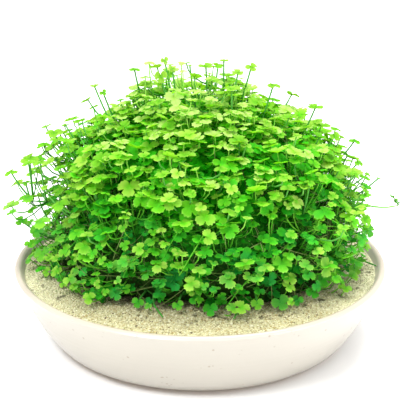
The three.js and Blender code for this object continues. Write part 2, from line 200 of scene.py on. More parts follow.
# Leaves that stand clear of the bush, in millimetres from its foot and degrees: the place of the blade, the
# root of its stalk, its reach, its tilt, the azimuth that it tilts towards, and its turn from there
CLEAR_LEAVES = (
    (-20.5, -6, 123.5, -14, -3, 92, 2.7, 68, 0, 20),
    (-16, -10, 119.5, -12, -4, 91, 2.1, 60, 20, -30),
    (-22.5, -14, 116, -16, -6, 88, 4.4, 62, -10, 10),
    (-38.5, 0, 117.5, -31, 0, 84, 3.9, 4, 0, 60),
    (-62, -2, 107.5, -46, -2, 72, 4.2, 8, -90, -20),
    (-56.5, -8, 105, -44, -5, 74, 2.4, 48, 0, 40),
    (-80.5, -2, 84.5, -62, -2, 58, 1.8, 20, -90, 0),
    (-87, -4, 80, -68, -3, 48, 5.5, 14, -30, 30),
    (-102, -6, 65, -98.6, -11.5, 41.4, 6.4, 20, -20, -30),
    (-114, -4, 55.5, -101.2, -11.5, 41.5, 4.7, 12, -60, 15),
    (-104.5, -10, 50.5, -103.8, -11.5, 41.2, 2.7, 24, -40, 40),
    (-106, -22, 30.5, -84, -19, 16, 4.3, 28, -20, -20),
    (-97, -26, 26, -78, -20, 18, 4.9, 60, -20, 10),
    (-93, -34, 14.5, -74, -26, 11, 5.8, 48, -40, 30),
    (-81, -46, 5, -68, -36, 3.6, 3.9, 50, -20, 10),
    (-70.5, -60, 4.5, -60, -50, 3.6, 4.1, 46, 0, 30),
    (-6, 2, 119, -2, 2, 90, 1.8, 6, 0, 10),
    (3.5, -2, 119.5, 5, 0, 89, 4.8, 8, 10, 30),
    (14, 2, 122, 14, 2, 89, 3.3, 3, 0, -40),
    (22, -8, 117, 16, -5, 87, 3.9, 20, 0, -60),
    (30, -2, 119, 20, 1, 86, 3.9, 34, 10, 20),
    (43, -4, 109, 32, -4, 76, 4.8, 10, 40, 30),
    (68.5, 0, 94.5, 52, -1, 60, 5.2, 5, 0, -50),
    (79.5, -10, 79, 60, -8, 52, 3.6, 42, 20, 20),
    (93, 0, 74, 68, -2, 46, 4, 12, 60, -20),
    (95, -6, 62, 70, -6, 40, 3.4, 32, 40, 30),
    (101, -4, 54, 80, -4, 40, 2.5, 30, 60, 0),
    (108, -4, 51.5, 80, -4, 32, 1.9, 18, 90, -10),
    (101, -18, 23.5, 80, -13, 17, 5.6, 64, 50, 0),
    (91, -39, 7, 76, -29, 10, 4.5, 58, 10, 20),
    (69, -63, 11, 60, -54, 9, 5.6, 38, 10, 0),
    (63, -71, 6.5, 54, -60, 9, 4.3, 52, 0, 25),
    (54, -77, 4.5, 50, -68, 3.8, 3.7, 36, 0, -20),
    (44, -83, 5.5, 38, -74, 5, 5.2, 46, 10, 20),
    (31, -88, 7, 30, -77, 9, 3.7, 60, 0, 10),
    (5.5, -90, 5, 6.5, -79, 4.5, 4.5, 44, -10, 10),
    (-12, -89, 6.5, -10, -78, 8, 3.1, 58, 0, 20),
    (-34, -82, 5, -30, -72, 7, 3.4, 60, 0, -15),
    (-46.5, -77, 8, -42, -67, 9.5, 4.3, 58, 0, 25),
    (-59, -70, 6, -48, -56, 6, 3.5, 46, -10, -10),
)
BACK_LEAVES = 10
BACK_START = 112
BACK_STEP = 15.2
BACK_RISES = (2, 40, 18, 58)
BACK_PROUD = 7 * MM
BACK_LIFT = 5 * MM
BACK_TILT = 30
BACK_REACH = 5 * MM
BACK_DROP = 22 * MM
BACK_PULL = 0.72
REACH_SPREAD = 0.16
TURN_SPREAD = 60
STALK_INSIDE = 4 * MM
STALK_BEND = 0.12

# Creeping stems, by their points from the foot of the bush, in millimetres
RUNNERS = {
    "runner_left": ((-80, -10, 36), (-92, -11.5, 38.5), (-100.5, -12, 39.5), (-107, -12, 39)),
    "runner_right": ((84, -8, 34), (100, -12, 36.5), (111, -12, 35), (119, -12, 36.5)),
    "runner_right_low": ((84, -18, 4), (96, -20, 5), (106, -24, 2.2)),
    "runner_front_left": ((-26, -74, 6), (-25, -86, 5), (-20, -95, 2.2)),
    "runner_front_right": ((20, -76, 6), (22, -88, 5), (18, -97, 2.2)),
    "runner_back": ((-30, 76, 8), (-42, 80, 6), (-52, 78, 2.4)),
}
ROOTED_JOINT = (-100.5, -12, 39.5)
ROOTED_REACH = 6 * MM

# Soft studio lights: place, size and power
LIGHTS = {
    "key": ((-0.55, -0.75, 1.25), 0.4, 13.5),
    "top": ((0.2, 0.2, 1.5), 0.7, 24.0),
    "side": ((1.1, -0.5, 0.7), 0.8, 5.0),
}
LIGHTS_AIM = (0, 0, 0.09)
WORLD_STRENGTH = 1.18
FLOOR_SIZE = 8
FLOOR_COLOUR = (0.9, 0.9, 0.9)


# Settings


def a_length(name, description, default):
    return FloatProperty(name=name, description=description, default=default, unit="LENGTH")


def a_colour(name, description, default):
    return FloatVectorProperty(name=name, description=description, default=default, subtype="COLOR")


def a_number(name, description, default):
    return IntProperty(name=name, description=description, default=default)


class PotSettings(bpy.types.PropertyGroup):
    rim_radius: a_length("Rim radius", "Widest radius of the bowl", POT_BOX[1].x)
    foot_radius: a_length("Foot radius", "Radius of the flat foot", 0.084)
    height: a_length("Height", "Foot to lip", POT_BOX[1].z)
    wall: a_length("Wall", "Thickness of the wall", 0.0045)
    floor: a_length("Floor", "Thickness of the floor", 0.005)
    glaze: a_colour("Glaze", "Colour of the glaze", (0.46, 0.43, 0.37))
    clay: a_colour("Clay", "Colour of the bare foot", (0.42, 0.31, 0.21))


class SandSettings(bpy.types.PropertyGroup):
    grains: a_number("Grains", "Loose grains on top of the sand", 15500)
    grain: a_length("Grain", "Common size of a grain", 0.0006)
    pale: a_colour("Pale", "Colour of the common grains", (0.5, 0.475, 0.285))
    ochre: a_colour("Ochre", "Colour of the yellow grains", (0.38, 0.3, 0.12))
    dark: a_colour("Dark", "Colour of the few dark grains", (0.12, 0.09, 0.05))
    # Painted shade: this colour darkens the sand under the bush, and the smudges of fallen bits
    soil_and_shade: a_colour("Soil", "Colour of the shaded sand", (0.06, 0.055, 0.02))


class BushSettings(bpy.types.PropertyGroup):
    half_width: a_length("Half width", "Middle to side", 0.1)
    half_depth: a_length("Half depth", "Middle to front", 0.092)
    height: a_length("Height", "Sand to the top of the mass", 0.116)
    waist: a_length("Waist", "Sand to the widest level", 0.026)
    outer_leaves: a_number("Outer leaves", "Leaves of the outside", 2700)
    inner_leaves: a_number("Inner leaves", "Shaded leaves behind them", 1700)
    sprigs: a_number("Sprigs", "Small leaves on long stalks that stand out of the bush", 300)
    stems: a_number("Stems", "Stems that rise from the sand", 150)
    twigs: a_number("Twigs", "Old bare side stems in the shade", 700)
    wanderers: a_number("Wanderers", "Long pale stems over the lower leaves", 26)
    reach: a_length("Reach", "Stalk to tip of a common blade", 0.0043)
    stalk: a_length("Stalk", "Radius of a leaf's stalk", 0.00036)


class StageSettings(bpy.types.PropertyGroup):
    distance: a_length("Distance", "Camera to the middle of the view", 0.62)
    middle: a_length("Middle", "Height of the middle of the view", 0.082)
    half_view: a_length("Half view", "Half of the view's width there", 0.12)
    elevation: FloatProperty(
        name="Elevation", description="Camera's height angle", default=math.radians(19), subtype="ANGLE"
    )


# Shader maths


class Wire:
    """A socket of a material. Sums on wires add the Math nodes that they need."""

    def __init__(self, finish, socket):
        self.finish = finish
        self.socket = socket

    def math(self, operation, *others):
        return self.finish.math(operation, self, *others)

    def __add__(self, other):
        return self.math("ADD", other)

    def __radd__(self, other):
        return self.finish.math("ADD", other, self)

    def __sub__(self, other):
        return self.math("SUBTRACT", other)

    def __rsub__(self, other):
        return self.finish.math("SUBTRACT", other, self)

    def __mul__(self, other):
        return self.math("MULTIPLY", other)

    def __rmul__(self, other):
        return self.finish.math("MULTIPLY", other, self)

    def band(self, low, high):
        """0 below low, 1 above high, smooth between."""
        sockets = {"Value": self, "From Min": low, "From Max": high}
        return self.finish.node("ShaderNodeMapRange", {"interpolation_type": "SMOOTHSTEP"}, sockets)


class Finish:
    """A material that is built node by node."""

    def __init__(self, name):
        self.material = bpy.data.materials.new(name)
        self.material.use_nodes = True
        self.tree = self.material.node_tree
        self.tree.nodes.clear()

    def node(self, kind, settings=None, sockets=None, output=0):
        """Adds a node with its settings, then its sockets' values or wires. Gives one output as a wire."""
        node = self.tree.nodes.new(kind)
        for name, value in (settings or {}).items():
            if name == "stops":
                ramp = node.color_ramp
                while len(ramp.elements) < len(value):
                    ramp.elements.new(1.0)
                for element, (place, colour) in zip(ramp.elements, value):
                    element.position = place
                    element.color = (*colour, 1.0)
            else:
                setattr(node, name, value)
        for name, value in (sockets or {}).items():
            socket = node.inputs[name]
            if isinstance(value, Wire):
                self.tree.links.new(value.socket, socket)
            else:
                socket.default_value = (*value, 1.0) if socket.type == "RGBA" else value
        return Wire(self, node.outputs[output]) if node.outputs else node

    def math(self, operation, *values):
        return self.node("ShaderNodeMath", {"operation": operation}, dict(enumerate(values)))

    def place(self):
        return self.node("ShaderNodeTexCoord", output="Object")

    def value(self, name):
        return self.node("ShaderNodeAttribute", {"attribute_name": name}, output="Fac")

    def axis(self, vector, name):
        return self.node("ShaderNodeSeparateXYZ", {}, {"Vector": vector}, name)

    def noise(self, scale, detail=2.0):
        return self.node("ShaderNodeTexNoise", {}, {"Vector": self.place(), "Scale": scale, "Detail": detail})

    def cells(self, scale, output):
        return self.node("ShaderNodeTexVoronoi", {}, {"Vector": self.place(), "Scale": scale}, output)

    def ramp(self, share, stops):
        return self.node("ShaderNodeValToRGB", {"stops": stops}, {"Fac": share}, "Color")

    def mix(self, share, first, second):
        return self.node("ShaderNodeMix", {"data_type": "RGBA"}, {0: share, 6: first, 7: second}, 2)

    def bump(self, height, strength, distance):
        return self.node("ShaderNodeBump", {}, {"Height": height, "Strength": strength, "Distance": distance})

    def surface(self, sockets):
        return self.node("ShaderNodeBsdfPrincipled", {}, sockets)

    def done(self, shader):
        self.node("ShaderNodeOutputMaterial", {}, {"Surface": shader})
        return self.material


def shade_of(colour, share):
    return tuple(min(1.0, part * share) for part in colour)


SPECK_COLOUR = (0.24, 0.17, 0.11)
LIP_COLOUR = (0.45, 0.36, 0.26)


def glaze_finish(pot):
    """Satin glaze with fine specks and faint throwing rings, thin at the lip, over a bare clay foot."""
    finish = Finish("pot_glaze")
    height = finish.axis(finish.place(), "Z")
    cloud = finish.noise(16.0, 3.0)
    tone = finish.mix(cloud, shade_of(pot.glaze, 0.93), pot.glaze)
    speck = (1 - finish.cells(260.0, "Distance").band(0.12, 0.24)) * finish.noise(90.0, 1.0).band(0.58, 0.66)
    tone = finish.mix(speck * 0.55, tone, SPECK_COLOUR)
    rub = height + (finish.noise(120.0) - 0.5) * 0.0012
    lip = rub.band(pot.height - 0.0014, pot.height - 0.0004)
    tone = finish.mix(lip * 0.5, tone, LIP_COLOUR)
    bare = 1 - (height + (finish.noise(60.0) - 0.5) * 0.002).band(0.0028, 0.0034)
    grit = finish.noise(900.0)
    tone = finish.mix(bare, tone, finish.mix(grit, shade_of(pot.clay, 0.8), pot.clay))
    rings = finish.node(
        "ShaderNodeTexNoise", {"noise_dimensions": "1D"}, {"W": height, "Scale": 300.0, "Detail": 2.0}
    )
    relief = rings * (1 - bare) + grit * bare * 0.6
    sockets = {
        "Base Color": tone,
        "Roughness": 0.26 + bare * 0.6 + cloud * 0.1,
        "Normal": finish.bump(relief, 0.35, 0.0004),
        "Coat Weight": (1 - bare) * 0.25,
        "Coat Roughness": 0.18,
    }
    return finish.done(finish.surface(sockets))


# Painted light: the pale colour that the sand at the sides is painted towards
PAINTED_LIGHT_SAND = (0.85, 0.84, 0.6)
PALEST_GRAIN = (0.72, 0.7, 0.5)


def sand_stops(sand):
    """Colours of the grains, from the rarest dark ones through ochre to the common pale ones."""
    between = tuple(0.5 * (a + b) for a, b in zip(sand.ochre, sand.pale))
    return (
        (0.0, sand.dark),
        (0.02, sand.dark),
        (0.04, sand.ochre),
        (0.16, between),
        (0.4, sand.pale),
        (0.8, shade_of(sand.pale, 1.2)),
        (1.0, PALEST_GRAIN),
    )


def shade_and_smudge_share(finish, bush):
    """1 on the sand under the bush, where painted shade darkens it, and in smudges of fallen bits in front of
    it.
    """
    place = finish.place()
    x = finish.axis(place, "X") * (1 / bush.half_width)
    y = (finish.axis(place, "Y") - BUSH_FOOT[1]) * (1 / bush.half_depth)
    ring = (x * x + y * y).math("SQRT")
    # Painted shade: the sand under the bush is painted dark
    under = 1 - (ring + (finish.noise(45.0, 3.0) - 0.5) * 0.26).band(0.78, 0.92)
    smudge = finish.noise(170.0, 2.0).band(0.58, 0.68) * (1 - ring.band(1.02, 1.14))
    return under.math("MAXIMUM", smudge)


def painted_light_share(finish):
    """How far the sand is painted paler, as painted light: most beside the bush, where it lies open near the
    lip.
    """
    return finish.axis(finish.place(), "X").math("ABSOLUTE").band(0.055, 0.105) * 0.5


def sand_finish(sand, bush):
    """Packed sand: every cell is a grain with a colour of its own."""
    finish = Finish("sand_bed")
    scale = 1 / sand.grain
    each = finish.node("ShaderNodeSeparateColor", {}, {"Color": finish.cells(scale, "Color")}, "Red")
    dome = finish.cells(scale, "Distance")
    tone = finish.ramp(each, sand_stops(sand))
    # Painted shade in the gaps between the grains of the bed
    tone = finish.mix(dome.band(0.35, 0.8) * 0.28, tone, shade_of(sand.ochre, 0.6))
    # Painted light: paler sand at the sides
    tone = finish.mix(painted_light_share(finish), tone, PAINTED_LIGHT_SAND)
    # Painted shade under the bush, and the smudges of fallen bits
    tone = finish.mix(shade_and_smudge_share(finish, bush) * 0.8, tone, sand.soil_and_shade)
    sockets = {"Base Color": tone, "Roughness": 0.9, "Normal": finish.bump(1 - dome, 0.8, 0.0003)}
    return finish.done(finish.surface({**sockets, "Specular IOR Level": 0.2}))


def grain_finish(sand, bush):
    """Loose grains: each has its own tone, and the clear ones shine a little."""
    finish = Finish("sand_grains")
    tone = finish.ramp(finish.value("tone"), sand_stops(sand))
    tone = finish.mix(finish.noise(2400.0, 1.0) * 0.3, tone, shade_of(sand.pale, 0.75))
    # Painted light: paler sand at the sides
    tone = finish.mix(painted_light_share(finish), tone, PAINTED_LIGHT_SAND)
    # Painted shade under the bush, and the smudges of fallen bits
    tone = finish.mix(shade_and_smudge_share(finish, bush) * 0.75, tone, sand.soil_and_shade)
    rough = 0.9 - 0.4 * finish.value("tone").band(0.75, 1.0)
    sockets = {"Base Color": tone, "Roughness": rough, "Specular IOR Level": 0.3}
    return finish.done(finish.surface(sockets))


# Leaf colours by tone, from deep shade to the youngest tips. A tone of 1 is the bright green of a lit leaf.
# A leaf's tone holds painted light and shade as well as its own colour
BRIGHTEST_TONE = 1.2
LEAF_TONES = (
    (0.0, (0.001, 0.17, 0.001)),
    (0.2, (0.008, 0.27, 0.002)),
    (0.4, (0.03, 0.4, 0.004)),
    (0.6, (0.065, 0.53, 0.009)),
    (0.8, (0.18, 0.63, 0.02)),
    (1.0, (0.52, 0.76, 0.1)),
    (1.2, (0.76, 0.88, 0.31)),
)
# Colours of the young leaves, the clear leaves and the buds
YOUNG_TONES = (
    (0.0, (0.005, 0.18, 0.002)),
    (0.5, (0.04, 0.42, 0.008)),
    (0.8, (0.22, 0.6, 0.03)),
    (1.0, (0.47, 0.75, 0.1)),
    (1.2, (0.7, 0.88, 0.3)),
)

# Stem colours by the same tones
STEM_TONES = (
    (0.0, (0.03, 0.03, 0.008)),
    (0.35, (0.03, 0.15, 0.012)),
    (0.6, (0.06, 0.33, 0.015)),
    (0.85, (0.18, 0.55, 0.04)),
    (1.2, (0.48, 0.76, 0.16)),
)
YOUNG_STEM_TONES = (
    (0.0, (0.015, 0.07, 0.01)),
    (0.6, (0.055, 0.26, 0.035)),
    (0.85, (0.13, 0.42, 0.07)),
    (1.2, (0.42, 0.68, 0.18)),
)
DRY_TONES = (
    (0.0, (0.03, 0.03, 0.01)),
    (0.6, (0.09, 0.17, 0.035)),
    (1.2, (0.33, 0.45, 0.14)),
)

# Blades: waves of main and side veins round the stalk, and the colours laid over their tones
MAIN_VEINS = 1.714
SIDE_VEINS = 5.143
VEIN_COLOUR = (0.38, 0.74, 0.06)
# Painted highlight along the rim of a blade
RIM_HIGHLIGHT_COLOUR = (0.62, 0.86, 0.24)
# Painted shade: the darker, cooler green of low blades near the sand
LOW_SHADE_COLOUR = (0.02, 0.36, 0.065)

# The light that shines through a blade. The lit and shaded leaves use lit and shaded copies of one skin, and
# the shaded one's greener glow is painted light in the bush's shade.
LIT_GLOW = (0.51, 0.83, 0.08)
YOUNG_GLOW = (0.5, 0.74, 0.12)
CLEAR_GLOW = (0.48, 0.68, 0.1)
SHADED_GLOW = (0.1, 0.74, 0.012)
BUD_GLOW = (0.3, 0.45, 0.06)


def tone_stops(tones):
    return tuple((tone / BRIGHTEST_TONE, colour) for tone, colour in tones)


def leaf_finish(name, glow, tones=LEAF_TONES):
    """A blade's skin: its own colour with painted light and shade, pale veins into each lobe, and light that
    shines through.
    """
    finish = Finish(name)
    spot = finish.node("ShaderNodeUVMap", {"uv_map": "blade"}, {}, "UV")
    x = (finish.axis(spot, "X") - 0.5) * 2
    y = (finish.axis(spot, "Y") - 0.5) * 2
    far = (x * x + y * y).math("SQRT")
    angle = x.math("ARCTAN2", y)
    main = 1 - ((angle * MAIN_VEINS).math("SINE").math("ABSOLUTE") * far).band(0.015, 0.07)
    twigs = 1 - ((angle * SIDE_VEINS).math("SINE").math("ABSOLUTE") * far).band(0.04, 0.16)
    veins = main.math("MAXIMUM", twigs * far.band(0.3, 0.6) * 0.6)
    mottle = finish.noise(420.0, 3.0)
    tone = finish.value("tone") + (mottle - 0.5) * 0.16 - (1 - far.band(0.0, 0.6)) * 0.14
    colour = finish.ramp(tone * (1 / BRIGHTEST_TONE), tone_stops(tones))
    height = finish.axis(finish.place(), "Z")
    # Painted shade: low blades near the sand are painted a darker, cooler green in patches
    low_shade_patches = finish.noise(60.0, 1.0).band(0.48, 0.6) * 0.42 + 0.2
    low = 1 - height.band(SAND_LEVEL + 0.02, SAND_LEVEL + 0.07)
    colour = finish.mix(low_shade_patches * low, colour, LOW_SHADE_COLOUR)
    # Lighter tones mean fresher blades and lit ones alike
    fresh_and_lit = tone.band(0.3, 0.95)
    colour = finish.mix(veins * (fresh_and_lit * 0.2 + 0.08), colour, VEIN_COLOUR)
    # Painted highlight: a paler rim, strongest on the lighter blades
    colour = finish.mix(far.band(0.72, 1.0) * (fresh_and_lit * 0.4 + 0.03), colour, RIM_HIGHLIGHT_COLOUR)
    sockets = {
        "Base Color": colour,
        "Roughness": 0.45 + mottle * 0.2,
        "Normal": finish.bump(mottle * 0.4 - veins, 0.3, 0.0003),
        "Specular IOR Level": 0.12,
    }
    through = finish.node("ShaderNodeBsdfTranslucent", {}, {"Color": glow})
    passing = fresh_and_lit * 0.22 + 0.27 + 0.18 * height.band(SAND_LEVEL + 0.01, SAND_LEVEL + 0.095)
    shader = finish.node("ShaderNodeMixShader", {}, {0: passing, 1: finish.surface(sockets), 2: through})
    return finish.done(shader)


def stem_finish(name="stems", tones=STEM_TONES):
    """Stalks and stems: olive where old and where painted shade falls, pale green where young and where
    painted light falls, with faint lengthwise streaks.
    """
    finish = Finish(name)
    streak = finish.noise(800.0)
    tone = finish.value("tone") + (streak - 0.5) * 0.15
    sockets = {
        "Base Color": finish.ramp(tone * (1 / BRIGHTEST_TONE), tone_stops(tones)),
        "Roughness": 0.55,
        "Normal": finish.bump(streak, 0.2, 0.0002),
        "Specular IOR Level": 0.05,
    }
    return finish.done(finish.surface(sockets))


def shade_tangle_finish():
    """A dark shell of painted shade for the shaded inside of the bush, standing for its felt of old stems and
    leaves.
    """
    finish = Finish("shade_tangle")
    felt = finish.noise(420.0, 4.0)
    low_stops = ((0.35, (0.003, 0.05, 0.003)), (0.55, (0.025, 0.05, 0.01)), (0.7, (0.006, 0.15, 0.004)))
    high_stops = ((0.35, (0.001, 0.2, 0.001)), (0.6, (0.006, 0.42, 0.002)))
    low = finish.ramp(felt, low_stops)
    high = finish.ramp(felt, high_stops)
    height = finish.axis(finish.place(), "Z")
    # Painted light: the shell is painted lighter and greener higher up, lightest under the crown
    tone = finish.mix(height.band(SAND_LEVEL + 0.015, SAND_LEVEL + 0.085), low, high)
    tone = finish.mix(height.band(SAND_LEVEL + 0.065, SAND_LEVEL + 0.105), tone, (0.1, 0.8, 0.01))
    sockets = {
        "Base Color": tone,
        "Roughness": 0.9,
        "Normal": finish.bump(felt, 1.0, 0.002),
        "Specular IOR Level": 0.05,
    }
    return finish.done(finish.surface(sockets))


# Modelling


def start_clean():
    """Leaves edit mode and deselects everything, so that the next operator acts on its own piece alone."""
    if bpy.context.mode != "OBJECT":
        bpy.ops.object.mode_set(mode="OBJECT")
    bpy.ops.object.select_all(action="DESELECT")


def start_ring(name, corners, radius, height=0.0, fill="NOTHING"):
    """Adds a ring of corners, turned so that one lies at +Y, and leaves it in edit mode, all selected."""
    start_clean()
    bpy.ops.mesh.primitive_circle_add(vertices=corners, radius=radius, fill_type=fill, location=(0, 0, 0))
    piece = bpy.context.object
    piece.name = piece.data.name = name
    bpy.ops.object.mode_set(mode="EDIT")
    bpy.ops.mesh.select_all(action="SELECT")
    bpy.ops.transform.translate(value=(0, 0, height))
    return piece


def grow_ring(scale, rise):
    """Extrudes the selected ring, scales it about the Z axis and lifts it."""
    bpy.ops.mesh.extrude_region()
    bpy.ops.transform.resize(value=(scale, scale, 1), center_override=(0, 0, 0))
    bpy.ops.transform.translate(value=(0, 0, rise))


def close_ring(height):
    """Extrudes the selected ring to one corner on the Z axis, at this height."""
    bpy.ops.mesh.extrude_region()
    bpy.ops.transform.resize(value=(0, 0, 0), center_override=(0, 0, 0))
    bpy.ops.mesh.remove_doubles(threshold=1e-7)
    bpy.ops.transform.translate(value=(0, 0, height))


def pick(piece, test):
    """Selects the corners of a piece in edit mode whose places pass the test."""
    bpy.ops.mesh.select_all(action="DESELECT")
    mesh = bmesh.from_edit_mesh(piece.data)
    for corner in mesh.verts:
        corner.select = test(corner.co)
    mesh.select_flush(True)
    bmesh.update_edit_mesh(piece.data)


def pick_open_edge():
    """Selects the edge of the piece in edit mode that isn't closed yet."""
    bpy.ops.mesh.select_all(action="DESELECT")
    bpy.ops.mesh.select_non_manifold()


def finish_shape():
    """Turns all faces of the piece in edit mode outwards and leaves edit mode."""
    bpy.ops.mesh.select_all(action="SELECT")
    bpy.ops.mesh.normals_make_consistent(inside=False)
    bpy.ops.object.mode_set(mode="OBJECT")


def smooth(piece, degrees):
    start_clean()
    piece.select_set(True)
    bpy.context.view_layer.objects.active = piece
    bpy.ops.object.shade_smooth_by_angle(angle=math.radians(degrees))


def settle(piece, material, node):
    """Gives a finished piece its material, hangs it from the root and hides the part of the model that it
    stands for.
    """
    piece.data.materials.clear()
    piece.data.materials.append(material)
    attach(piece, "root")
    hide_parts(node)


class Pattern:
    """A small shape that is modelled once and copied many times into one mesh."""

    def __init__(self, piece):
        mesh = piece.data
        self.corners = np.array([corner.co for corner in mesh.vertices])
        self.loops = np.array([loop.vertex_index for loop in mesh.loops])
        self.counts = np.array([face.loop_total for face in mesh.polygons])
        bpy.data.objects.remove(piece)

    def joined(self, name, places, tones, spots=None):
        """One mesh of many copies. places holds each copy's corners and tones a tone for each corner."""
        copies, corners = places.shape[:2]
        shift = np.repeat(np.arange(copies) * corners, len(self.loops))
        loops = np.tile(self.loops, copies) + shift
        counts = np.tile(self.counts, copies)
        tones = np.broadcast_to(tones, (copies, corners))
        mesh = bpy.data.meshes.new(name)
        mesh.vertices.add(copies * corners)
        mesh.vertices.foreach_set("co", places.reshape(-1).astype(np.float32))
        mesh.loops.add(len(loops))
        mesh.loops.foreach_set("vertex_index", loops.astype(np.int32))
        mesh.polygons.add(len(counts))
        mesh.polygons.foreach_set("loop_start", (np.cumsum(counts) - counts).astype(np.int32))
        mesh.update(calc_edges=True)
        attribute = mesh.attributes.new("tone", "FLOAT", "POINT")
        attribute.data.foreach_set("value", tones.reshape(-1).astype(np.float32))
        if spots is not None:
            layer = mesh.uv_layers.new(name="blade")
            spots = np.tile(spots[self.loops], (copies, 1))
            layer.data.foreach_set("uv", spots.reshape(-1).astype(np.float32))
        mesh.validate()
        piece = bpy.data.objects.new(name, mesh)
        bpy.context.scene.collection.objects.link(piece)
        return piece


def draws(name):
    return np.random.default_rng(SEEDS[name])


def unit(vectors):
    return vectors / np.maximum(np.linalg.norm(vectors, axis=-1, keepdims=True), 1e-12)


def scatter(a, b):
    """An even scatter between -1 and 1 that is the same for the same pair of whole numbers."""
    wave = np.sin(np.asarray(a) * 12.9898 + np.asarray(b) * 78.233) * 43758.5453
    return 2 * (wave - np.floor(wave)) - 1


def spiral(count, lowest):
    """Even places over the bush's outside: the azimuth and rise of each, from the skirt to the top."""
    i = np.arange(count)
    share = lowest + (1 - lowest) * (i + 0.5) / count
    dome = np.degrees(np.arcsin(np.clip(share, -1, 1)))
    rise = np.where(share < 0, share / SKIRT_SHARE * SKIRT_ANGLE, dome)
    return (i * GOLDEN_ANGLE) % 360, rise


def looseness(azimuth, rise):
    """How much the outside is pinched in under the sprays of its loose side, as a share of its width."""
    aside = ((azimuth % 360 - LOOSE_AZIMUTH) / LOOSE_WIDTH) ** 2
    return LOOSE_SHARE * np.exp(-aside - ((rise - LOOSE_RISE) / LOOSE_HEIGHT) ** 2)


def canopy(bush, azimuth, rise, inset):
    """Points of the leafy outside, or inset from it, by azimuth from the front and rise from the waist."""
    azimuth, rise, inset = (np.asarray(v, float) for v in (azimuth, rise, inset))
    a = np.radians(azimuth)
    tuck = np.maximum(-rise, 0) / SKIRT_ANGLE
    level = np.cos(np.radians(np.maximum(rise, 0)))
    lift = np.sin(np.radians(np.maximum(rise, 0)))
    crown = np.clip((lift - CROWN_START) / (CROWN_FULL - CROWN_START), 0, 1)
    taper = 2 * BUSH_TAPER * lift * level + BUSH_CROWN * crown**2 * (3 - 2 * crown)
    swell = (
        0.03 * np.sin(3 * a + 0.8)
        + 0.025 * np.sin(5 * a + 2.1 + rise / 30)
        + 0.02 * np.sin(7 * a + rise / 14)
        + (BUSH_FULLNESS * level + FOOT_FULLNESS * tuck) * np.sin(2 * a) ** 2
    )
    spread = level * (1 - taper) * (1 - looseness(azimuth, rise))
    spread = spread * (1 - BUSH_TUCK * tuck**2) * (1 + level * swell)
    dome = bush.waist + (bush.height - bush.waist - inset) * np.sin(np.radians(rise))
    height = np.where(rise < 0, bush.waist * (1 - tuck), dome)
    x = (bush.half_width - inset) * spread * np.sin(a) - BUSH_LEAN * lift**4
    y = -(bush.half_depth - inset) * spread * np.cos(a)
    return np.stack([x, y, height], axis=-1) + BUSH_FOOT


def openness(azimuth, rise):
    """How far light shows between the stalks: 1 at the top, less at the left and right, 0 on the front."""
    side = 0.8 * np.exp(-((((azimuth % 180) - 90) / 32) ** 2) - ((rise - 16) / 18) ** 2)
    top = np.clip((rise - OPEN_RISE) / OPEN_BAND, 0, 1)
    return np.clip(side + top, 0, 1)


def height_share(bush, places):
    """Height over the sand as a share of the bush's height."""
    return (places[..., 2] - SAND_LEVEL) / bush.height


def chosen(leaves, which):
    return {name: value[which] for name, value in leaves.items()}


def apart(leaves, clear, share):
    """Which leaves keep a share of both blades' reach from every clear leaf."""
    gap = np.linalg.norm(leaves["place"][:, None] - clear["place"][None], axis=2)
    return np.all(gap > share * (leaves["reach"][:, None] + clear["reach"][None]), axis=1)


def azimuth_of(places):
    return np.degrees(np.arctan2(places[:, 0] - BUSH_FOOT[0], BUSH_FOOT[1] - places[:, 1]))


def lie(azimuth, tilt, turn):
    """How blades lie: tilted towards an azimuth, with the middle lobe turned from there, in degrees."""
    a, t, s = (np.radians(v)[:, None] for v in (azimuth, tilt, turn))
    out = np.concatenate([np.sin(a), -np.cos(a), 0 * a], axis=1)
    normal = UP * np.cos(t) + out * np.sin(t)
    ahead = out * np.cos(t) - UP * np.sin(t)
    heading = ahead * np.cos(s) + np.cross(normal, ahead) * np.sin(s)
    return normal, heading


def model_blade(outline):
    """A blade one unit in reach: a ring whose notches are pulled in and whose lobes are folded along their
    middles, under a dished top and over a plain underside."""
    step = 180 / (len(outline) - 1)
    blade = start_ring("blade", 2 * (len(outline) - 1), 1.0)
    for number, share in enumerate(outline):
        angle = number * step
        from_middle = min(angle, abs(angle - SIDE_LOBE))
        fold = LOBE_FOLD * (0.25 - max(0.0, 1 - from_middle / LOBE_WIDTH))
        pick(blade, lambda co: round(abs(math.degrees(math.atan2(co.x, co.y))) / step) == number)
        bpy.ops.transform.resize(value=(share, share, 1), center_override=(0, 0, 0))
        bpy.ops.transform.translate(value=(0, 0, fold))
    bpy.ops.mesh.select_all(action="SELECT")
    close_ring(-BLADE_DISH)
    pick_open_edge()
    close_ring(-BLADE_DISH - BLADE_THICKNESS)
    finish_shape()
    return Pattern(blade)


def model_rod(sides, rings):
    """A closed rod one unit in radius, with its rings at whole heights from 0."""
    rod = start_ring("rod", sides, 1.0, fill="NGON")
    for _ in range(rings - 1):
        grow_ring(1, 1.0)
    finish_shape()
    return Pattern(rod)


def model_grain():
    """A rough grain: a cube with uneven corners."""
    start_clean()
    bpy.ops.mesh.primitive_cube_add(size=1.2)
    grain = bpy.context.object
    bpy.ops.object.mode_set(mode="EDIT")
    bpy.ops.transform.vertex_random(offset=0.22, seed=4)
    finish_shape()
    return Pattern(grain)


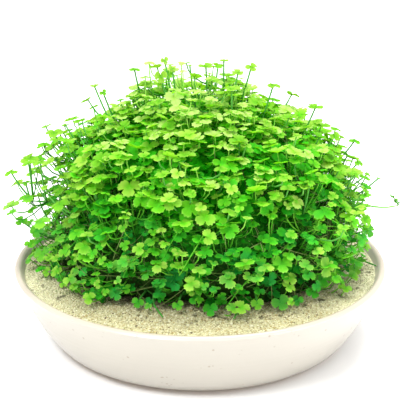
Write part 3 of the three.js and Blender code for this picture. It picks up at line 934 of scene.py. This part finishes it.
def blades(pattern, name, leaves, chance, material, node="bush"):
    """One piece of blades, each turned to its place and bent a little in its own way."""
    flat = pattern.corners
    far = np.hypot(flat[:, 0], flat[:, 1])
    angle = np.arctan2(flat[:, 0], flat[:, 1])
    count = len(leaves["place"])
    cup = chance.uniform(-0.26, 0.14, (count, 1))
    wave = chance.uniform(-0.14, 0.14, (count, 1))
    phase = chance.uniform(0, 2 * np.pi, (count, 1))
    wide = chance.uniform(0.9, 1.12, (count, 1))
    reach = leaves["reach"][:, None]
    x = flat[:, 0] * wide * reach
    y = flat[:, 1] * reach
    z = (flat[:, 2] + far**2 * cup + far**1.5 * np.cos(1.5 * angle + phase) * wave) * reach
    side = unit(np.cross(leaves["heading"], leaves["normal"]))
    ahead = np.cross(leaves["normal"], side)
    corners = (
        leaves["place"][:, None]
        + x[..., None] * side[:, None]
        + y[..., None] * ahead[:, None]
        + z[..., None] * leaves["normal"][:, None]
    )
    tone = leaves["tone"][:, None] + 0.06 * (far - 0.6)
    piece = pattern.joined(name, corners, tone, 0.5 + flat[:, :2] / 2)
    smooth(piece, 50)
    settle(piece, material, node)


def rods(pattern, name, lines, radii, tones, material, node="bush"):
    """One piece of rods, each bent along its own line of points, with a point for each ring of the rod."""
    radii, tones = (np.broadcast_to(values, lines.shape[:2]) for values in (radii, tones))
    ring = np.rint(pattern.corners[:, 2]).astype(int)
    ahead = unit(np.gradient(lines, axis=1))
    chord = unit(lines[:, -1] - lines[:, 0])
    helper = np.where(np.abs(chord[:, 2:3]) > 0.8, [[1.0, 0.0, 0.0]], [[0.0, 0.0, 1.0]])
    side = unit(np.cross(ahead, helper[:, None]))
    third = np.cross(side, ahead)
    radius = radii[:, ring, None]
    corners = (
        lines[:, ring]
        + side[:, ring] * pattern.corners[:, 0:1] * radius
        + third[:, ring] * pattern.corners[:, 1:2] * radius
    )
    piece = pattern.joined(name, corners, tones[:, ring])
    smooth(piece, 100)
    settle(piece, material, node)


def bend(start, middle, end, count):
    """Points along quadratic curves, one curve for each row."""
    t = np.linspace(0, 1, count)[None, :, None]
    start, middle, end = (v[:, None] for v in (start, middle, end))
    return start * (1 - t) ** 2 + 2 * middle * t * (1 - t) + end * t**2


def clumps(points, size):
    """Soft lumps between -1 and 1 over space, of about this size."""
    return np.array([noise.noise(Vector(point) / size) for point in points])


def covered(places, reach):
    """How many other blades lie over each one, towards the light from above and outside."""
    towards = unit(0.6 * unit((places - BUSH_FOOT) * [1, 1, 0]) + UP)
    way = places[None] - places[:, None]
    ahead = np.einsum("ijk,ik->ij", way, towards)
    aside = np.linalg.norm(way - ahead[..., None] * towards[:, None], axis=2)
    over = (ahead > SHADE_START) & (ahead < SHADE_END) & (aside < 0.8 * reach[:, None])
    return np.sum(over, axis=1)


def stem_lines(bush):
    """Stems that rise from the sand and lean out towards the bush's outside, as lines of points."""
    chance = draws("stems")
    count = bush.stems
    azimuth, rise = spiral(count, -0.3 * SKIRT_SHARE)
    azimuth = azimuth + chance.normal(0, 5, count)
    tips = canopy(bush, azimuth, rise, chance.uniform(*STEM_TIP_DEPTH, count))
    roots = BUSH_FOOT + (tips - BUSH_FOOT) * [0.72, 0.72, 0] * chance.uniform(0.35, 1.0, (count, 1))
    roots[:, 2] = SAND_LEVEL - STEM_LIFT
    knee = roots * 0.35 + tips * 0.65
    knee[:, 2] = SAND_LEVEL + 0.42 * (tips[:, 2] - SAND_LEVEL)
    lines = bend(roots, knee, tips, STEM_RINGS)
    lines[:, 1:] += chance.normal(0, STEM_WOBBLE, (count, STEM_RINGS - 1, 3))
    return lines


def stem_joints(bush):
    """The places on the stems that stalks grow from."""
    return stem_lines(bush)[:, 3:].reshape(-1, 3)


def nearest(joints, places):
    gap = np.linalg.norm(places[:, None] - joints[None], axis=2)
    return joints[np.argmin(gap, axis=1)]


def clear_leaves(bush):
    """The clear leaves, each with the root of its stalk."""
    rows = np.array(CLEAR_LEAVES, float)
    i = np.arange(BACK_LEAVES)
    around = BACK_START + i * BACK_STEP
    back = canopy(bush, around, np.array(BACK_RISES)[i % len(BACK_RISES)], -BACK_PROUD) - BUSH_FOOT
    back[:, 2] += BACK_LIFT
    back_root = back * [BACK_PULL, BACK_PULL, 1] - [0, 0, BACK_DROP]
    back_root[:, 2] = np.maximum(back_root[:, 2], STALK_INSIDE)
    back_rest = np.stack(
        [
            BACK_REACH * (1 + REACH_SPREAD * scatter(i, 4)),
            np.full(BACK_LEAVES, float(BACK_TILT)),
            around,
            TURN_SPREAD * scatter(i, 5),
        ]
    )
    reach, tilt, azimuth, turn = np.concatenate([rows[:, 6:].T * [[MM], [1], [1], [1]], back_rest], axis=1)
    normal, heading = lie(azimuth, tilt, turn)
    root = np.concatenate([rows[:, 3:6] * MM, back_root])
    joint = np.array(ROOTED_JOINT) * MM
    on_joint = np.linalg.norm(root - joint, axis=1, keepdims=True) < ROOTED_REACH
    return {
        "place": np.concatenate([rows[:, 0:3] * MM, back]) + BUSH_FOOT,
        "root": np.where(on_joint, joint + 0.3 * (root - joint), root) + BUSH_FOOT,
        "normal": normal,
        "heading": heading,
        "reach": reach,
    }


# Operators


class PENNYWORT_OT_pot(bpy.types.Operator):
    """Throws the bowl: rings drawn up from the foot, over the lip and down inside"""

    bl_idname = "pennywort.pot"
    bl_label = "Pot"

    def execute(self, context):
        pot = context.scene.pennywort_pot
        flare = 0.6
        lip = 0.0015
        around = 160
        rim = pot.height

        def radius(height):
            return pot.foot_radius + (pot.rim_radius - pot.foot_radius) * (height / rim) ** flare

        outside = [(radius(h), h) for h in (0.004, 0.009, 0.016, 0.023, 0.030, 0.037, rim - lip)]
        top = [
            (pot.rim_radius - 0.9 * lip, rim - 0.3 * lip),
            (pot.rim_radius - 1.6 * lip, rim),
            (pot.rim_radius - pot.wall + 0.6 * lip, rim - 0.1 * lip),
        ]
        inside = [(radius(h) - pot.wall, h) for h in (rim - lip, 0.036, 0.024, 0.012, pot.floor)]
        last = pot.foot_radius - 0.001
        level = 0.0
        bowl = start_ring("bowl", around, last)
        for width, height in [(pot.foot_radius, 0.001), *outside, *top, *inside]:
            grow_ring(width / last, height - level)
            last = width
            level = height
        close_ring(pot.floor)
        pick_open_edge()
        close_ring(0)
        finish_shape()
        smooth(bowl, 40)
        settle(bowl, glaze_finish(pot), "pot")
        return {"FINISHED"}


class PENNYWORT_OT_sand(bpy.types.Operator):
    """Fills the pot with a bed of sand and strews loose grains over it"""

    bl_idname = "pennywort.sand"
    bl_label = "Sand"

    def execute(self, context):
        sand = context.scene.pennywort_sand
        bush = context.scene.pennywort_bush
        edge = SAND_BOX[1].x
        around = 420
        rings = 44
        inner = 0.052
        top = SAND_LEVEL - 0.0006
        drop = 0.018
        bed = start_ring("sand_bed", around, edge, top)
        shrink = (inner / edge) ** (1 / rings)
        for _ in range(rings):
            grow_ring(shrink, 0)
        close_ring(top)
        pick_open_edge()
        grow_ring(0.93, -drop)
        grow_ring(0.9, SAND_BOX[0].z + drop - top)
        close_ring(SAND_BOX[0].z)
        finish_shape()
        # The top is uneven and sinks a little towards its edge
        for corner in bed.data.vertices:
            if corner.co.z > SAND_LEVEL - 0.001:
                place = corner.co
                away = place.xy.length
                out = min(1.0, max(0.0, (away - 0.085) / 0.012))
                hollow = 0.0009 * (1 + noise.noise(place * 26)) * out
                ripple = 0.0005 * noise.noise(place * 90) + 0.00025 * noise.noise(place * 420)
                place.z = SAND_LEVEL - 0.0003 - hollow + ripple * min(1.0, (edge - away) / 0.004)
        smooth(bed, 60)
        settle(bed, sand_finish(sand, bush), "sand")
        self.strew(sand, bush, bed, edge)
        return {"FINISHED"}

    def strew(self, sand, bush, bed, edge):
        """Loose grains lie on the bed in the ring that shows between the bush and the lip."""
        chance = draws("sand")
        surface = BVHTree.FromObject(bed, bpy.context.evaluated_depsgraph_get())
        tries = 4 * sand.grains
        away = edge * np.sqrt(chance.uniform(0.3, 0.985, tries))
        angle = chance.uniform(0, 2 * np.pi, tries)
        x = away * np.sin(angle)
        y = -away * np.cos(angle)
        foot = np.hypot(x / bush.half_width, (y - BUSH_FOOT[1]) / bush.half_depth)
        places = []
        for i in np.flatnonzero(foot > 0.76)[: sand.grains]:
            hit = surface.ray_cast(Vector((x[i], y[i], SAND_LEVEL + 0.01)), Vector((0, 0, -1)))[0]
            places.append(hit if hit else Vector((x[i], y[i], SAND_LEVEL)))
        places = np.array(places)
        count = len(places)
        size = sand.grain * chance.lognormal(0, 0.24, count)
        places[:, 2] += 0.2 * size
        spin = unit(chance.normal(size=(count, 3)))
        side = unit(np.cross(spin, unit(chance.normal(size=(count, 3)))))
        third = np.cross(spin, side)
        pattern = model_grain()
        shape = pattern.corners[None] * chance.uniform(0.7, 1.15, (count, 1, 3)) * size[:, None, None]
        corners = (
            places[:, None]
            + shape[..., 0:1] * side[:, None]
            + shape[..., 1:2] * third[:, None]
            + shape[..., 2:3] * spin[:, None]
        )
        grains = pattern.joined("sand_grains", corners, chance.uniform(0, 1, (count, 1)))
        settle(grains, grain_finish(sand, bush), "sand")


class PENNYWORT_OT_bush(bpy.types.Operator):
    """Grows the bush: stems from the sand, and leaves on stalks from the shade to the outside"""

    bl_idname = "pennywort.bush"
    bl_label = "Bush"

    def execute(self, context):
        bush = context.scene.pennywort_bush
        chance = draws("bush")
        clear = clear_leaves(bush)
        creeping = np.array(RUNNERS["runner_left"][1:3]) * MM + BUSH_FOOT
        joints = np.concatenate([stem_joints(bush), creeping])
        stem_material = stem_finish()
        young_stems = stem_finish("young_stems", YOUNG_STEM_TONES)
        lit = leaf_finish("leaf_lit", LIT_GLOW)
        young = leaf_finish("leaf_young", YOUNG_GLOW, YOUNG_TONES)
        shaded = leaf_finish("leaf_shaded", SHADED_GLOW)
        lit_blade = model_blade(LIT_OUTLINE)
        shaded_blade = model_blade(SHADED_OUTLINE)
        rod = model_rod(4, STALK_RINGS)
        outer = self.outer(bush, chance, clear)
        low = outer["place"][:, 2] < SAND_LEVEL + 0.55 * bush.height
        groups = {
            "outer_low": (lit_blade, lit, chosen(outer, low), stem_material, 1.0),
            "outer_high": (lit_blade, lit, chosen(outer, ~low), stem_material, 1.0),
            "sprigs": (lit_blade, young, self.sprigs(bush, chance, clear), young_stems, 1.3),
            "inner": (shaded_blade, shaded, self.inner(bush, chance), stem_material, 1.0),
        }
        for name, (pattern, material, leaves, stalk_material, thickness) in groups.items():
            blades(pattern, "leaves_" + name, leaves, chance, material)
            lines, radii, tones = self.stalks(bush.stalk * thickness, leaves, joints, chance)
            rods(rod, "stalks_" + name, lines, radii, tones, stalk_material)
        self.stems(bush, chance, stem_material)
        self.twigs(bush, chance, joints, rod, stem_finish("old_stems", DRY_TONES))
        self.wanderers(bush, chance, joints, stem_material)
        self.shade_tangle(bush)
        return {"FINISHED"}

    def stems(self, bush, chance, material):
        lines = stem_lines(bush)
        count, points = lines.shape[:2]
        radii = np.linspace(*STEM_RADII, points) * chance.uniform(0.8, 1.2, (count, 1))
        # Painted light: stems are painted lighter higher up
        tones = 0.2 + 0.65 * height_share(bush, lines)
        rods(model_rod(5, points), "stems", lines, radii, tones, material)

    def outer(self, bush, chance, clear):
        """Leaves of the outside. They lie nearly level at the top and face outwards lower down."""
        count = bush.outer_leaves
        azimuth, rise = spiral(count, -0.86 * SKIRT_SHARE)
        azimuth = azimuth + chance.normal(0, 2.4, count) / np.maximum(np.cos(np.radians(rise)), 0.25)
        rise = np.minimum(np.abs(rise + chance.normal(0, 2.4, count) + 17) - 17, 89)
        open_share = openness(azimuth, rise)
        depth = OUTER_DEPTH * chance.random(count) ** 1.3 - OUTER_PROUD
        depth = depth + OUTER_OPEN_DEPTH * open_share * (chance.random(count) - 0.4)
        uneven = 0.006 + 0.01 * np.clip((rise - OPEN_RISE) / OPEN_BAND, 0, 1)
        depth = depth - uneven * clumps(canopy(bush, azimuth, rise, 0.0), FORM_LUMPS)
        pull = SHOULDER_PULL * np.exp(-(((rise - SHOULDER_RISE) / SHOULDER_BAND) ** 2))
        depth = depth + pull * np.sin(np.radians(azimuth)) ** 2
        places = canopy(bush, azimuth, rise, depth)
        common = bush.reach * np.interp(rise, *OUTER_REACH)
        reach = np.clip(common * chance.lognormal(0, 0.27, count), *OUTER_LIMITS)
        floor = SAND_LEVEL + OUTER_LIFT + 0.5 * reach + chance.uniform(0, 0.004, count)
        places[:, 2] = np.maximum(places[:, 2], floor)
        tilt = np.interp(rise, *OUTER_TILT)
        tilt = tilt + chance.normal(0, 1, count) * np.interp(rise, *OUTER_TILT_SPREAD)
        normal, heading = lie(azimuth_of(places), tilt, chance.uniform(-100, 100, count))
        lean = unit(normal + chance.normal(0, 0.14, (count, 3)))
        heading = unit(heading - lean * np.sum(heading * lean, axis=1, keepdims=True))
        # Painted light and shade: lighter high up, in the crown, where open and near the foot, darker deeper
        # in
        height = np.clip(height_share(bush, places), 0, 1)
        crown = np.clip(height - 0.6, 0, 1)
        tone = 0.8 + 0.1 * height + 1.8 * crown + 0.1 * open_share - (22 + 25 * crown) * depth
        tone = tone + 0.1 * (rise < 2) + 0.06 * (rise < SKIRT_RISE)
        # Soft lumps and a random spread give the leaves' own colours
        tone = tone + 0.3 * clumps(places, TONE_LUMPS) + chance.normal(0, 0.13, count)
        tone = np.minimum(tone, 0.9 + 0.36 * height)
        leaves = {"place": places, "normal": lean, "heading": heading, "reach": reach, "tone": tone}
        sparse = 0.4 * open_share + 0.3 * (rise > OPEN_RISE)
        sparse = sparse + 0.28 * (rise < LOW_RISE) + 0.1 * (rise < SKIRT_RISE)
        free = apart(leaves, clear, 0.8) & (chance.random(count) > sparse)
        leaves = chosen(leaves, free)
        # Painted shadow: each blade is painted darker for every blade that lies over it towards the light
        shade = np.interp(height_share(bush, leaves["place"]), [0.6, 1.0], [0.18, 0.11])
        leaves["tone"] = leaves["tone"] - shade * covered(leaves["place"], leaves["reach"])
        return leaves

    def sprigs(self, bush, chance, clear):
        """Young leaves on long stalks that stand out of the bush, two fifths of them at its sides."""
        count = bush.sprigs
        azimuth, rise = spiral(count, 0.02)
        azimuth = azimuth + chance.normal(0, 6, count)
        rise = np.clip(rise + chance.normal(0, 4, count), 2, 86)
        lumps = np.clip(1 + 3 * clumps(canopy(bush, azimuth, rise, 0.0), SPRIG_LUMPS), 0, 2.0)
        proud = np.interp(rise, *SPRIG_PROUD) * lumps
        sides = 2 * count // 5
        left = np.arange(sides) % 5 < 3
        azimuth[:sides] = np.where(left, LOOSE_AZIMUTH, LOOSE_AZIMUTH - 180) + chance.normal(0, 18, sides)
        left_rise = chance.uniform(*LEFT_RISES, sides)
        rise[:sides] = np.where(left, left_rise, chance.uniform(*RIGHT_RISES, sides))
        proud[:sides] = np.interp(rise[:sides], *SIDE_PROUD)
        proud[:sides] += 0.12 * looseness(azimuth[:sides], rise[:sides])
        places = canopy(bush, azimuth, rise, -proud * chance.uniform(-0.2, 1.2, count))
        reach = np.clip(SPRIG_REACH * chance.lognormal(0, 0.26, count), *SPRIG_LIMITS)
        low, high = (np.array(v) for v in cad_box)
        places = np.clip(places, low + 1.1 * reach[:, None], high - 1.1 * reach[:, None])
        tilt = np.interp(rise, *SPRIG_TILT) + chance.normal(0, 12, count)
        normal, heading = lie(azimuth_of(places), tilt, chance.uniform(-180, 180, count))
        tone = 0.86 + chance.normal(0, 0.09, count)
        leaves = {"place": places, "normal": normal, "heading": heading, "reach": reach, "tone": tone}
        free = apart(leaves, clear, 1.0) & (chance.random(count) > 0.5 * (rise > OPEN_RISE))
        return chosen(leaves, free)

    def inner(self, bush, chance):
        """Shaded leaves behind the outside, painted darker the deeper they lie, as painted shade."""
        count = bush.inner_leaves
        azimuth, rise = spiral(count, -0.9 * SKIRT_SHARE)
        azimuth = azimuth + chance.normal(0, 4, count)
        rise = np.clip(rise + chance.normal(0, 3, count), -18, 89)
        open_share = openness(azimuth, rise)
        depth = chance.uniform(*INNER_DEPTH, count) + INNER_OPEN_DEPTH * open_share
        places = canopy(bush, azimuth, rise, depth)
        reach = np.clip(bush.reach * chance.lognormal(0, 0.16, count), *INNER_LIMITS)
        places[:, 2] = np.maximum(places[:, 2], SAND_LEVEL + INNER_LIFT + 0.5 * reach)
        tilt = np.interp(rise, *INNER_TILT) + chance.normal(0, 18, count)
        normal, heading = lie(azimuth_of(places), tilt, chance.uniform(-180, 180, count))
        height = height_share(bush, places)
        # Painted light and shade: darker deeper in, lighter high up, most in the crown, where open and near
        # the sand
        tone = 0.22 + 0.36 * height - 7 * (depth - INNER_DEPTH[0]) + 0.12 * open_share
        tone = tone + 1.6 * np.clip(height - 0.65, 0, 1) + 0.12 * (height < 0.15)
        tone = tone + chance.normal(0, 0.1, count)
        leaves = {"place": places, "normal": normal, "heading": heading, "reach": reach, "tone": tone}
        return chosen(leaves, chance.random(count) > 0.5 * open_share + 0.4 * (rise < 18))

    def stalks(self, thick, leaves, joints, chance):
        """Lines, radii and tones of stalks, each from the best joint, inside and below, to its blade."""
        ends = leaves["place"] - leaves["normal"] * (BLADE_DISH * leaves["reach"])[:, None]
        way = ends[:, None] - joints[None]
        length = np.linalg.norm(way, axis=2)
        joint_from_middle = np.linalg.norm(joints[:, :2] - BUSH_FOOT[:2], axis=1)[None]
        end_from_middle = np.linalg.norm(ends[:, :2] - BUSH_FOOT[:2], axis=1)[:, None]
        cost = np.abs(length - STALK_LENGTH) + 2 * np.maximum(STALK_CLIMB - way[..., 2], 0)
        cost = cost + np.maximum(joint_from_middle - end_from_middle, 0)
        cost = cost + JOINT_LUCK * draws("joints").random(cost.shape)
        roots = joints[np.argmin(cost, axis=1)]
        span = np.linalg.norm(ends - roots, axis=1)[:, None]
        arrive = unit(0.6 * leaves["normal"] + 0.4 * UP)
        lines = bend(roots, ends - arrive * 0.45 * span, ends, STALK_RINGS)
        radii = thick * np.linspace(1.2, 0.9, STALK_RINGS) * chance.uniform(0.8, 1.15, (len(ends), 1))
        # Painted light and shade: a stalk takes its blade's tone, painted darker towards its root inside the
        # bush
        tones = 0.2 + 0.74 * leaves["tone"][:, None] * np.linspace(0.65, 1.0, STALK_RINGS)
        return lines, radii, tones

    def twigs(self, bush, chance, joints, rod, material):
        """Old bare side stems that cross in the shade behind the leaves."""
        count = bush.twigs
        azimuth = chance.uniform(0, 360, count)
        rise = chance.uniform(-16, 22, count)
        start = canopy(bush, azimuth, rise, chance.uniform(*TWIG_START_DEPTH, count))
        start = nearest(joints, start)
        away = azimuth + chance.normal(0, 13, count)
        end_rise = rise + chance.normal(4, 13, count)
        end = canopy(bush, away, end_rise, chance.uniform(*TWIG_END_DEPTH, count))
        end[:, 2] = np.maximum(end[:, 2], SAND_LEVEL + STEM_LIFT)
        middle = 0.5 * (start + end) + chance.normal(0, TWIG_WOBBLE, (count, 3))
        lines = bend(start, middle, end, STALK_RINGS)
        lines[..., 2] = np.maximum(lines[..., 2], SAND_LEVEL + 0.0008)
        tones = chance.uniform(0.2, 1.1, (count, 1))
        rods(rod, "twigs", lines, TWIG_RADIUS, tones, material)

    def wanderers(self, bush, chance, joints, material):
        """A few long pale stems that wander over the lower leaves."""
        count = bush.wanderers
        azimuth = (np.arange(count) * GOLDEN_ANGLE) % 360
        rise = chance.uniform(2, 24, count)
        start = nearest(joints, canopy(bush, azimuth, rise, WANDERER_START_DEPTH))
        away = azimuth + chance.choice([-1, 1], count) * chance.uniform(8, 17, count)
        end_rise = rise - chance.uniform(8, 20, count)
        end = canopy(bush, away, end_rise, chance.uniform(*WANDERER_END_DEPTH, count))
        end[:, 2] = np.maximum(end[:, 2], SAND_LEVEL + STEM_LIFT)
        depth = chance.uniform(*WANDERER_MIDDLE_DEPTH, count)
        middle = canopy(bush, 0.5 * (azimuth + away), rise - 3, depth)
        lines = bend(start, middle, end, STEM_RINGS)
        radii = np.linspace(*WANDERER_RADII, STEM_RINGS)
        tones = chance.uniform(0.5, 0.8, (count, 1))
        rods(model_rod(5, STEM_RINGS), "wandering_stems", lines, radii, tones, material)

    def shade_tangle(self, bush):
        """A closed dark shell of painted shade for the dense shaded middle that no light comes through."""
        start_clean()
        bpy.ops.mesh.primitive_ico_sphere_add(subdivisions=5, radius=1.0)
        shade_tangle = bpy.context.object
        shade_tangle.name = shade_tangle.data.name = "shade_tangle"
        for corner in shade_tangle.data.vertices:
            ball = corner.co.normalized()
            azimuth = math.degrees(math.atan2(ball.x, -ball.y))
            rise = math.degrees(math.asin(max(-1.0, min(1.0, ball.z))))
            level = max(rise, -SKIRT_ANGLE)
            inset = SHADE_TANGLE_DEPTH + 0.005 * noise.noise(ball * 9) + 0.003 * noise.noise(ball * 24)
            deeper = SHADE_TANGLE_SIDE_DEPTH if level < OPEN_RISE else SHADE_TANGLE_TOP_DEPTH
            place = canopy(bush, azimuth, level, inset + deeper * float(openness(azimuth, level)))
            if rise < -SKIRT_ANGLE:
                share = (90 + rise) / (90 - SKIRT_ANGLE)
                place = BUSH_FOOT + (place - BUSH_FOOT) * [share, share, 1] - [0, 0, 0.001 * (1 - share)]
            corner.co = place
        smooth(shade_tangle, 60)
        settle(shade_tangle, shade_tangle_finish(), "bush")


class PENNYWORT_OT_clear_leaves(bpy.types.Operator):
    """Sets each leaf that stands clear of the bush on its own stalk, in the place of its solid"""

    bl_idname = "pennywort.clear_leaves"
    bl_label = "Clear leaves"

    def execute(self, context):
        bush = context.scene.pennywort_bush
        chance = draws("clear_leaves")
        leaves = clear_leaves(bush)
        roots = leaves.pop("root")
        places = leaves["place"]
        span = np.linalg.norm(places - roots, axis=1)
        knee = 0.5 * (roots + places)
        knee[:, 2] -= STALK_BEND * span * np.sign(places[:, 2] - roots[:, 2])
        ends = places - leaves["normal"] * (BLADE_DISH * leaves["reach"])[:, None]
        lines = bend(roots, knee, ends, CLEAR_RINGS)
        # Painted light: clear leaves are painted lighter the higher they stand
        leaves["tone"] = 0.6 + 0.36 * height_share(bush, places) + chance.normal(0, 0.08, len(places))
        blade = model_blade(LIT_OUTLINE)
        rod = model_rod(6, CLEAR_RINGS)
        material = leaf_finish("leaf_clear", CLEAR_GLOW, YOUNG_TONES)
        stems = stem_finish("clear_stems", YOUNG_STEM_TONES)
        radii = bush.stalk * np.linspace(1.8, 1.3, CLEAR_RINGS)
        for i in range(len(places)):
            one = chosen(leaves, [i])
            node = f"leaf_{i + 1:02d}"
            blades(blade, node + "_blade", one, chance, material, node)
            # Painted light and shade: a stalk takes its blade's tone, painted darker towards its root
            tones = 0.14 + 0.6 * one["tone"] * np.linspace(0.6, 1.1, CLEAR_RINGS)
            rods(rod, node + "_stalk", lines[[i]], radii, tones, stems, node)
        self.ties(bush, roots, stems)
        return {"FINISHED"}

    def ties(self, bush, roots, material):
        """Stems that carry the stalks and the creeping stems inside the bush."""
        starts = [np.array(points[0]) * MM + BUSH_FOOT for points in RUNNERS.values()]
        joint = np.array(ROOTED_JOINT) * MM + BUSH_FOOT
        inside = roots[np.linalg.norm(roots - joint, axis=1) > ROOTED_REACH]
        ends = np.concatenate([inside, starts])
        begins = nearest(stem_joints(bush), ends - [0, 0, 0.004])
        middle = 0.5 * (begins + ends) - [0, 0, 0.002]
        lines = bend(begins, middle, ends, STALK_RINGS)
        rods(model_rod(4, STALK_RINGS), "ties", lines, TIE_RADIUS, TIE_TONE, material)


class PENNYWORT_OT_runners(bpy.types.Operator):
    """Lays the creeping stems, with swollen joints, rootlets and buds, in the places of their solids"""

    bl_idname = "pennywort.runners"
    bl_label = "Runners"

    def execute(self, context):
        material = stem_finish("creeping_stems", YOUNG_STEM_TONES)
        steps = RUNNER_RINGS
        rod = model_rod(8, steps)
        for name, points in RUNNERS.items():
            points = np.array(points, float) * MM + BUSH_FOOT
            t = np.linspace(0, len(points) - 1, steps)
            line = np.stack([np.interp(t, np.arange(len(points)), along) for along in points.T], axis=1)
            for _ in range(3):
                line[1:-1] = 0.25 * line[:-2] + 0.5 * line[1:-1] + 0.25 * line[2:]
            swell = 1 + 0.35 * np.exp(-(((np.arange(steps) % 8) - 4) ** 2) / 1.5)
            radii = RUNNER_RADIUS * swell * np.linspace(1.0, 0.72, steps)
            pale = 0.55 if name == "runner_right" else 0.1
            tones = pale + np.linspace(0.2, 0.5, steps)
            rods(rod, name + "_stem", line[None], radii, tones, material, name)
        self.rootlets(material)
        self.buds(material)
        return {"FINISHED"}

    def rootlets(self, material):
        """Fine roots that hang from the left creeping stem's joint."""
        chance = draws("rootlets")
        count = 7
        start = np.array(ROOTED_JOINT) * MM + BUSH_FOOT + np.zeros((count, 3))
        end = start + chance.uniform([-0.004, -0.002, -0.008], [0.004, 0.002, -0.004], (count, 3))
        middle = 0.5 * (start + end) + chance.normal(0, ROOTLET_WOBBLE, (count, 3))
        lines = bend(start, middle, end, STALK_RINGS)
        rod = model_rod(4, STALK_RINGS)
        radii = np.linspace(*ROOTLET_RADII, STALK_RINGS)
        rods(rod, "runner_left_rootlets", lines, radii, ROOTLET_TONE, material, "runner_left")

    def buds(self, material):
        """A cluster of unopened leaves at the tip of the right creeping stem, each on a short stalk."""
        chance = draws("buds")
        count = 6
        tip = np.array(RUNNERS["runner_right"][-1]) * MM + BUSH_FOOT
        places = tip + chance.uniform([-0.005, -0.003, 0.002], [0.0, 0.003, 0.008], (count, 3))
        normal, heading = lie(chance.uniform(0, 360, count), chance.uniform(10, 60, count), np.zeros(count))
        leaves = {
            "place": places,
            "normal": normal,
            "heading": heading,
            "reach": chance.uniform(0.001, 0.002, count),
            "tone": chance.uniform(0.55, 0.85, count),
        }
        skin = leaf_finish("leaf_bud", BUD_GLOW, YOUNG_TONES)
        blades(model_blade(SHADED_OUTLINE), "runner_right_buds", leaves, chance, skin, "runner_right")
        start = tip + np.zeros((count, 3))
        lines = bend(start, 0.5 * (start + places) + [0.001, 0, 0], places, STALK_RINGS)
        rod = model_rod(4, STALK_RINGS)
        name = "runner_right_bud_stalks"
        rods(rod, name, lines, BUD_STALK_RADIUS, BUD_STALK_TONE, material, "runner_right")


class PENNYWORT_OT_stage(bpy.types.Operator):
    """Sets the floor, the soft lights and the camera"""

    bl_idname = "pennywort.stage"
    bl_label = "Stage"

    def execute(self, context):
        stage = context.scene.pennywort_stage
        start_clean()
        bpy.ops.mesh.primitive_plane_add(size=FLOOR_SIZE, location=(0, 0, 0))
        floor = bpy.context.object
        floor.name = "floor"
        finish = Finish("floor")
        surface = finish.surface({"Base Color": FLOOR_COLOUR, "Roughness": 0.9})
        floor.data.materials.append(finish.done(surface))
        for name, (place, size, power) in LIGHTS.items():
            self.light(name, place, size, power)
        world = bpy.data.worlds.new("studio")
        world.use_nodes = True
        background = world.node_tree.nodes["Background"]
        background.inputs["Color"].default_value = (1, 1, 1, 1)
        background.inputs["Strength"].default_value = WORLD_STRENGTH
        context.scene.world = world
        context.scene.view_settings.view_transform = "Standard"
        middle = Vector((0, 0, stage.middle))
        away = Vector((0, -math.cos(stage.elevation), math.sin(stage.elevation)))
        bpy.ops.object.camera_add(location=middle + away * stage.distance)
        camera = bpy.context.object
        camera.rotation_euler = (math.pi / 2 - stage.elevation, 0, 0)
        camera.data.angle = 2 * math.atan(stage.half_view / stage.distance)
        camera.data.clip_start = 0.01
        context.scene.camera = camera
        return {"FINISHED"}

    def light(self, name, place, size, power):
        start_clean()
        bpy.ops.object.light_add(type="AREA", location=place)
        light = bpy.context.object
        light.name = name
        light.data.size = size
        light.data.energy = power
        aim = Vector(LIGHTS_AIM) - Vector(place)
        light.rotation_euler = aim.to_track_quat("-Z", "Y").to_euler()


class PENNYWORT_PT_panel(bpy.types.Panel):
    """Lists the steps that build the potted plant"""

    bl_label = "Potted pennywort"
    bl_idname = "PENNYWORT_PT_panel"
    bl_space_type = "VIEW_3D"
    bl_region_type = "UI"
    bl_category = "Pennywort"

    def draw(self, context):
        for step in STEPS:
            self.layout.operator(step.bl_idname)


STEPS = (
    PENNYWORT_OT_stage,
    PENNYWORT_OT_pot,
    PENNYWORT_OT_sand,
    PENNYWORT_OT_bush,
    PENNYWORT_OT_clear_leaves,
    PENNYWORT_OT_runners,
)
SETTINGS = {
    "pennywort_pot": PotSettings,
    "pennywort_sand": SandSettings,
    "pennywort_bush": BushSettings,
    "pennywort_stage": StageSettings,
}


def register():
    for each in (*SETTINGS.values(), *STEPS, PENNYWORT_PT_panel):
        bpy.utils.register_class(each)
    for name, group in SETTINGS.items():
        setattr(bpy.types.Scene, name, PointerProperty(type=group))


def unregister():
    for name in SETTINGS:
        delattr(bpy.types.Scene, name)
    for each in reversed((*SETTINGS.values(), *STEPS, PENNYWORT_PT_panel)):
        bpy.utils.unregister_class(each)


def main():
    register()
    bpy.ops.pennywort.stage()
    bpy.ops.pennywort.pot()
    bpy.ops.pennywort.sand()
    bpy.ops.pennywort.bush()
    bpy.ops.pennywort.clear_leaves()
    bpy.ops.pennywort.runners()
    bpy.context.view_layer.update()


if __name__ == "__main__":
    main()
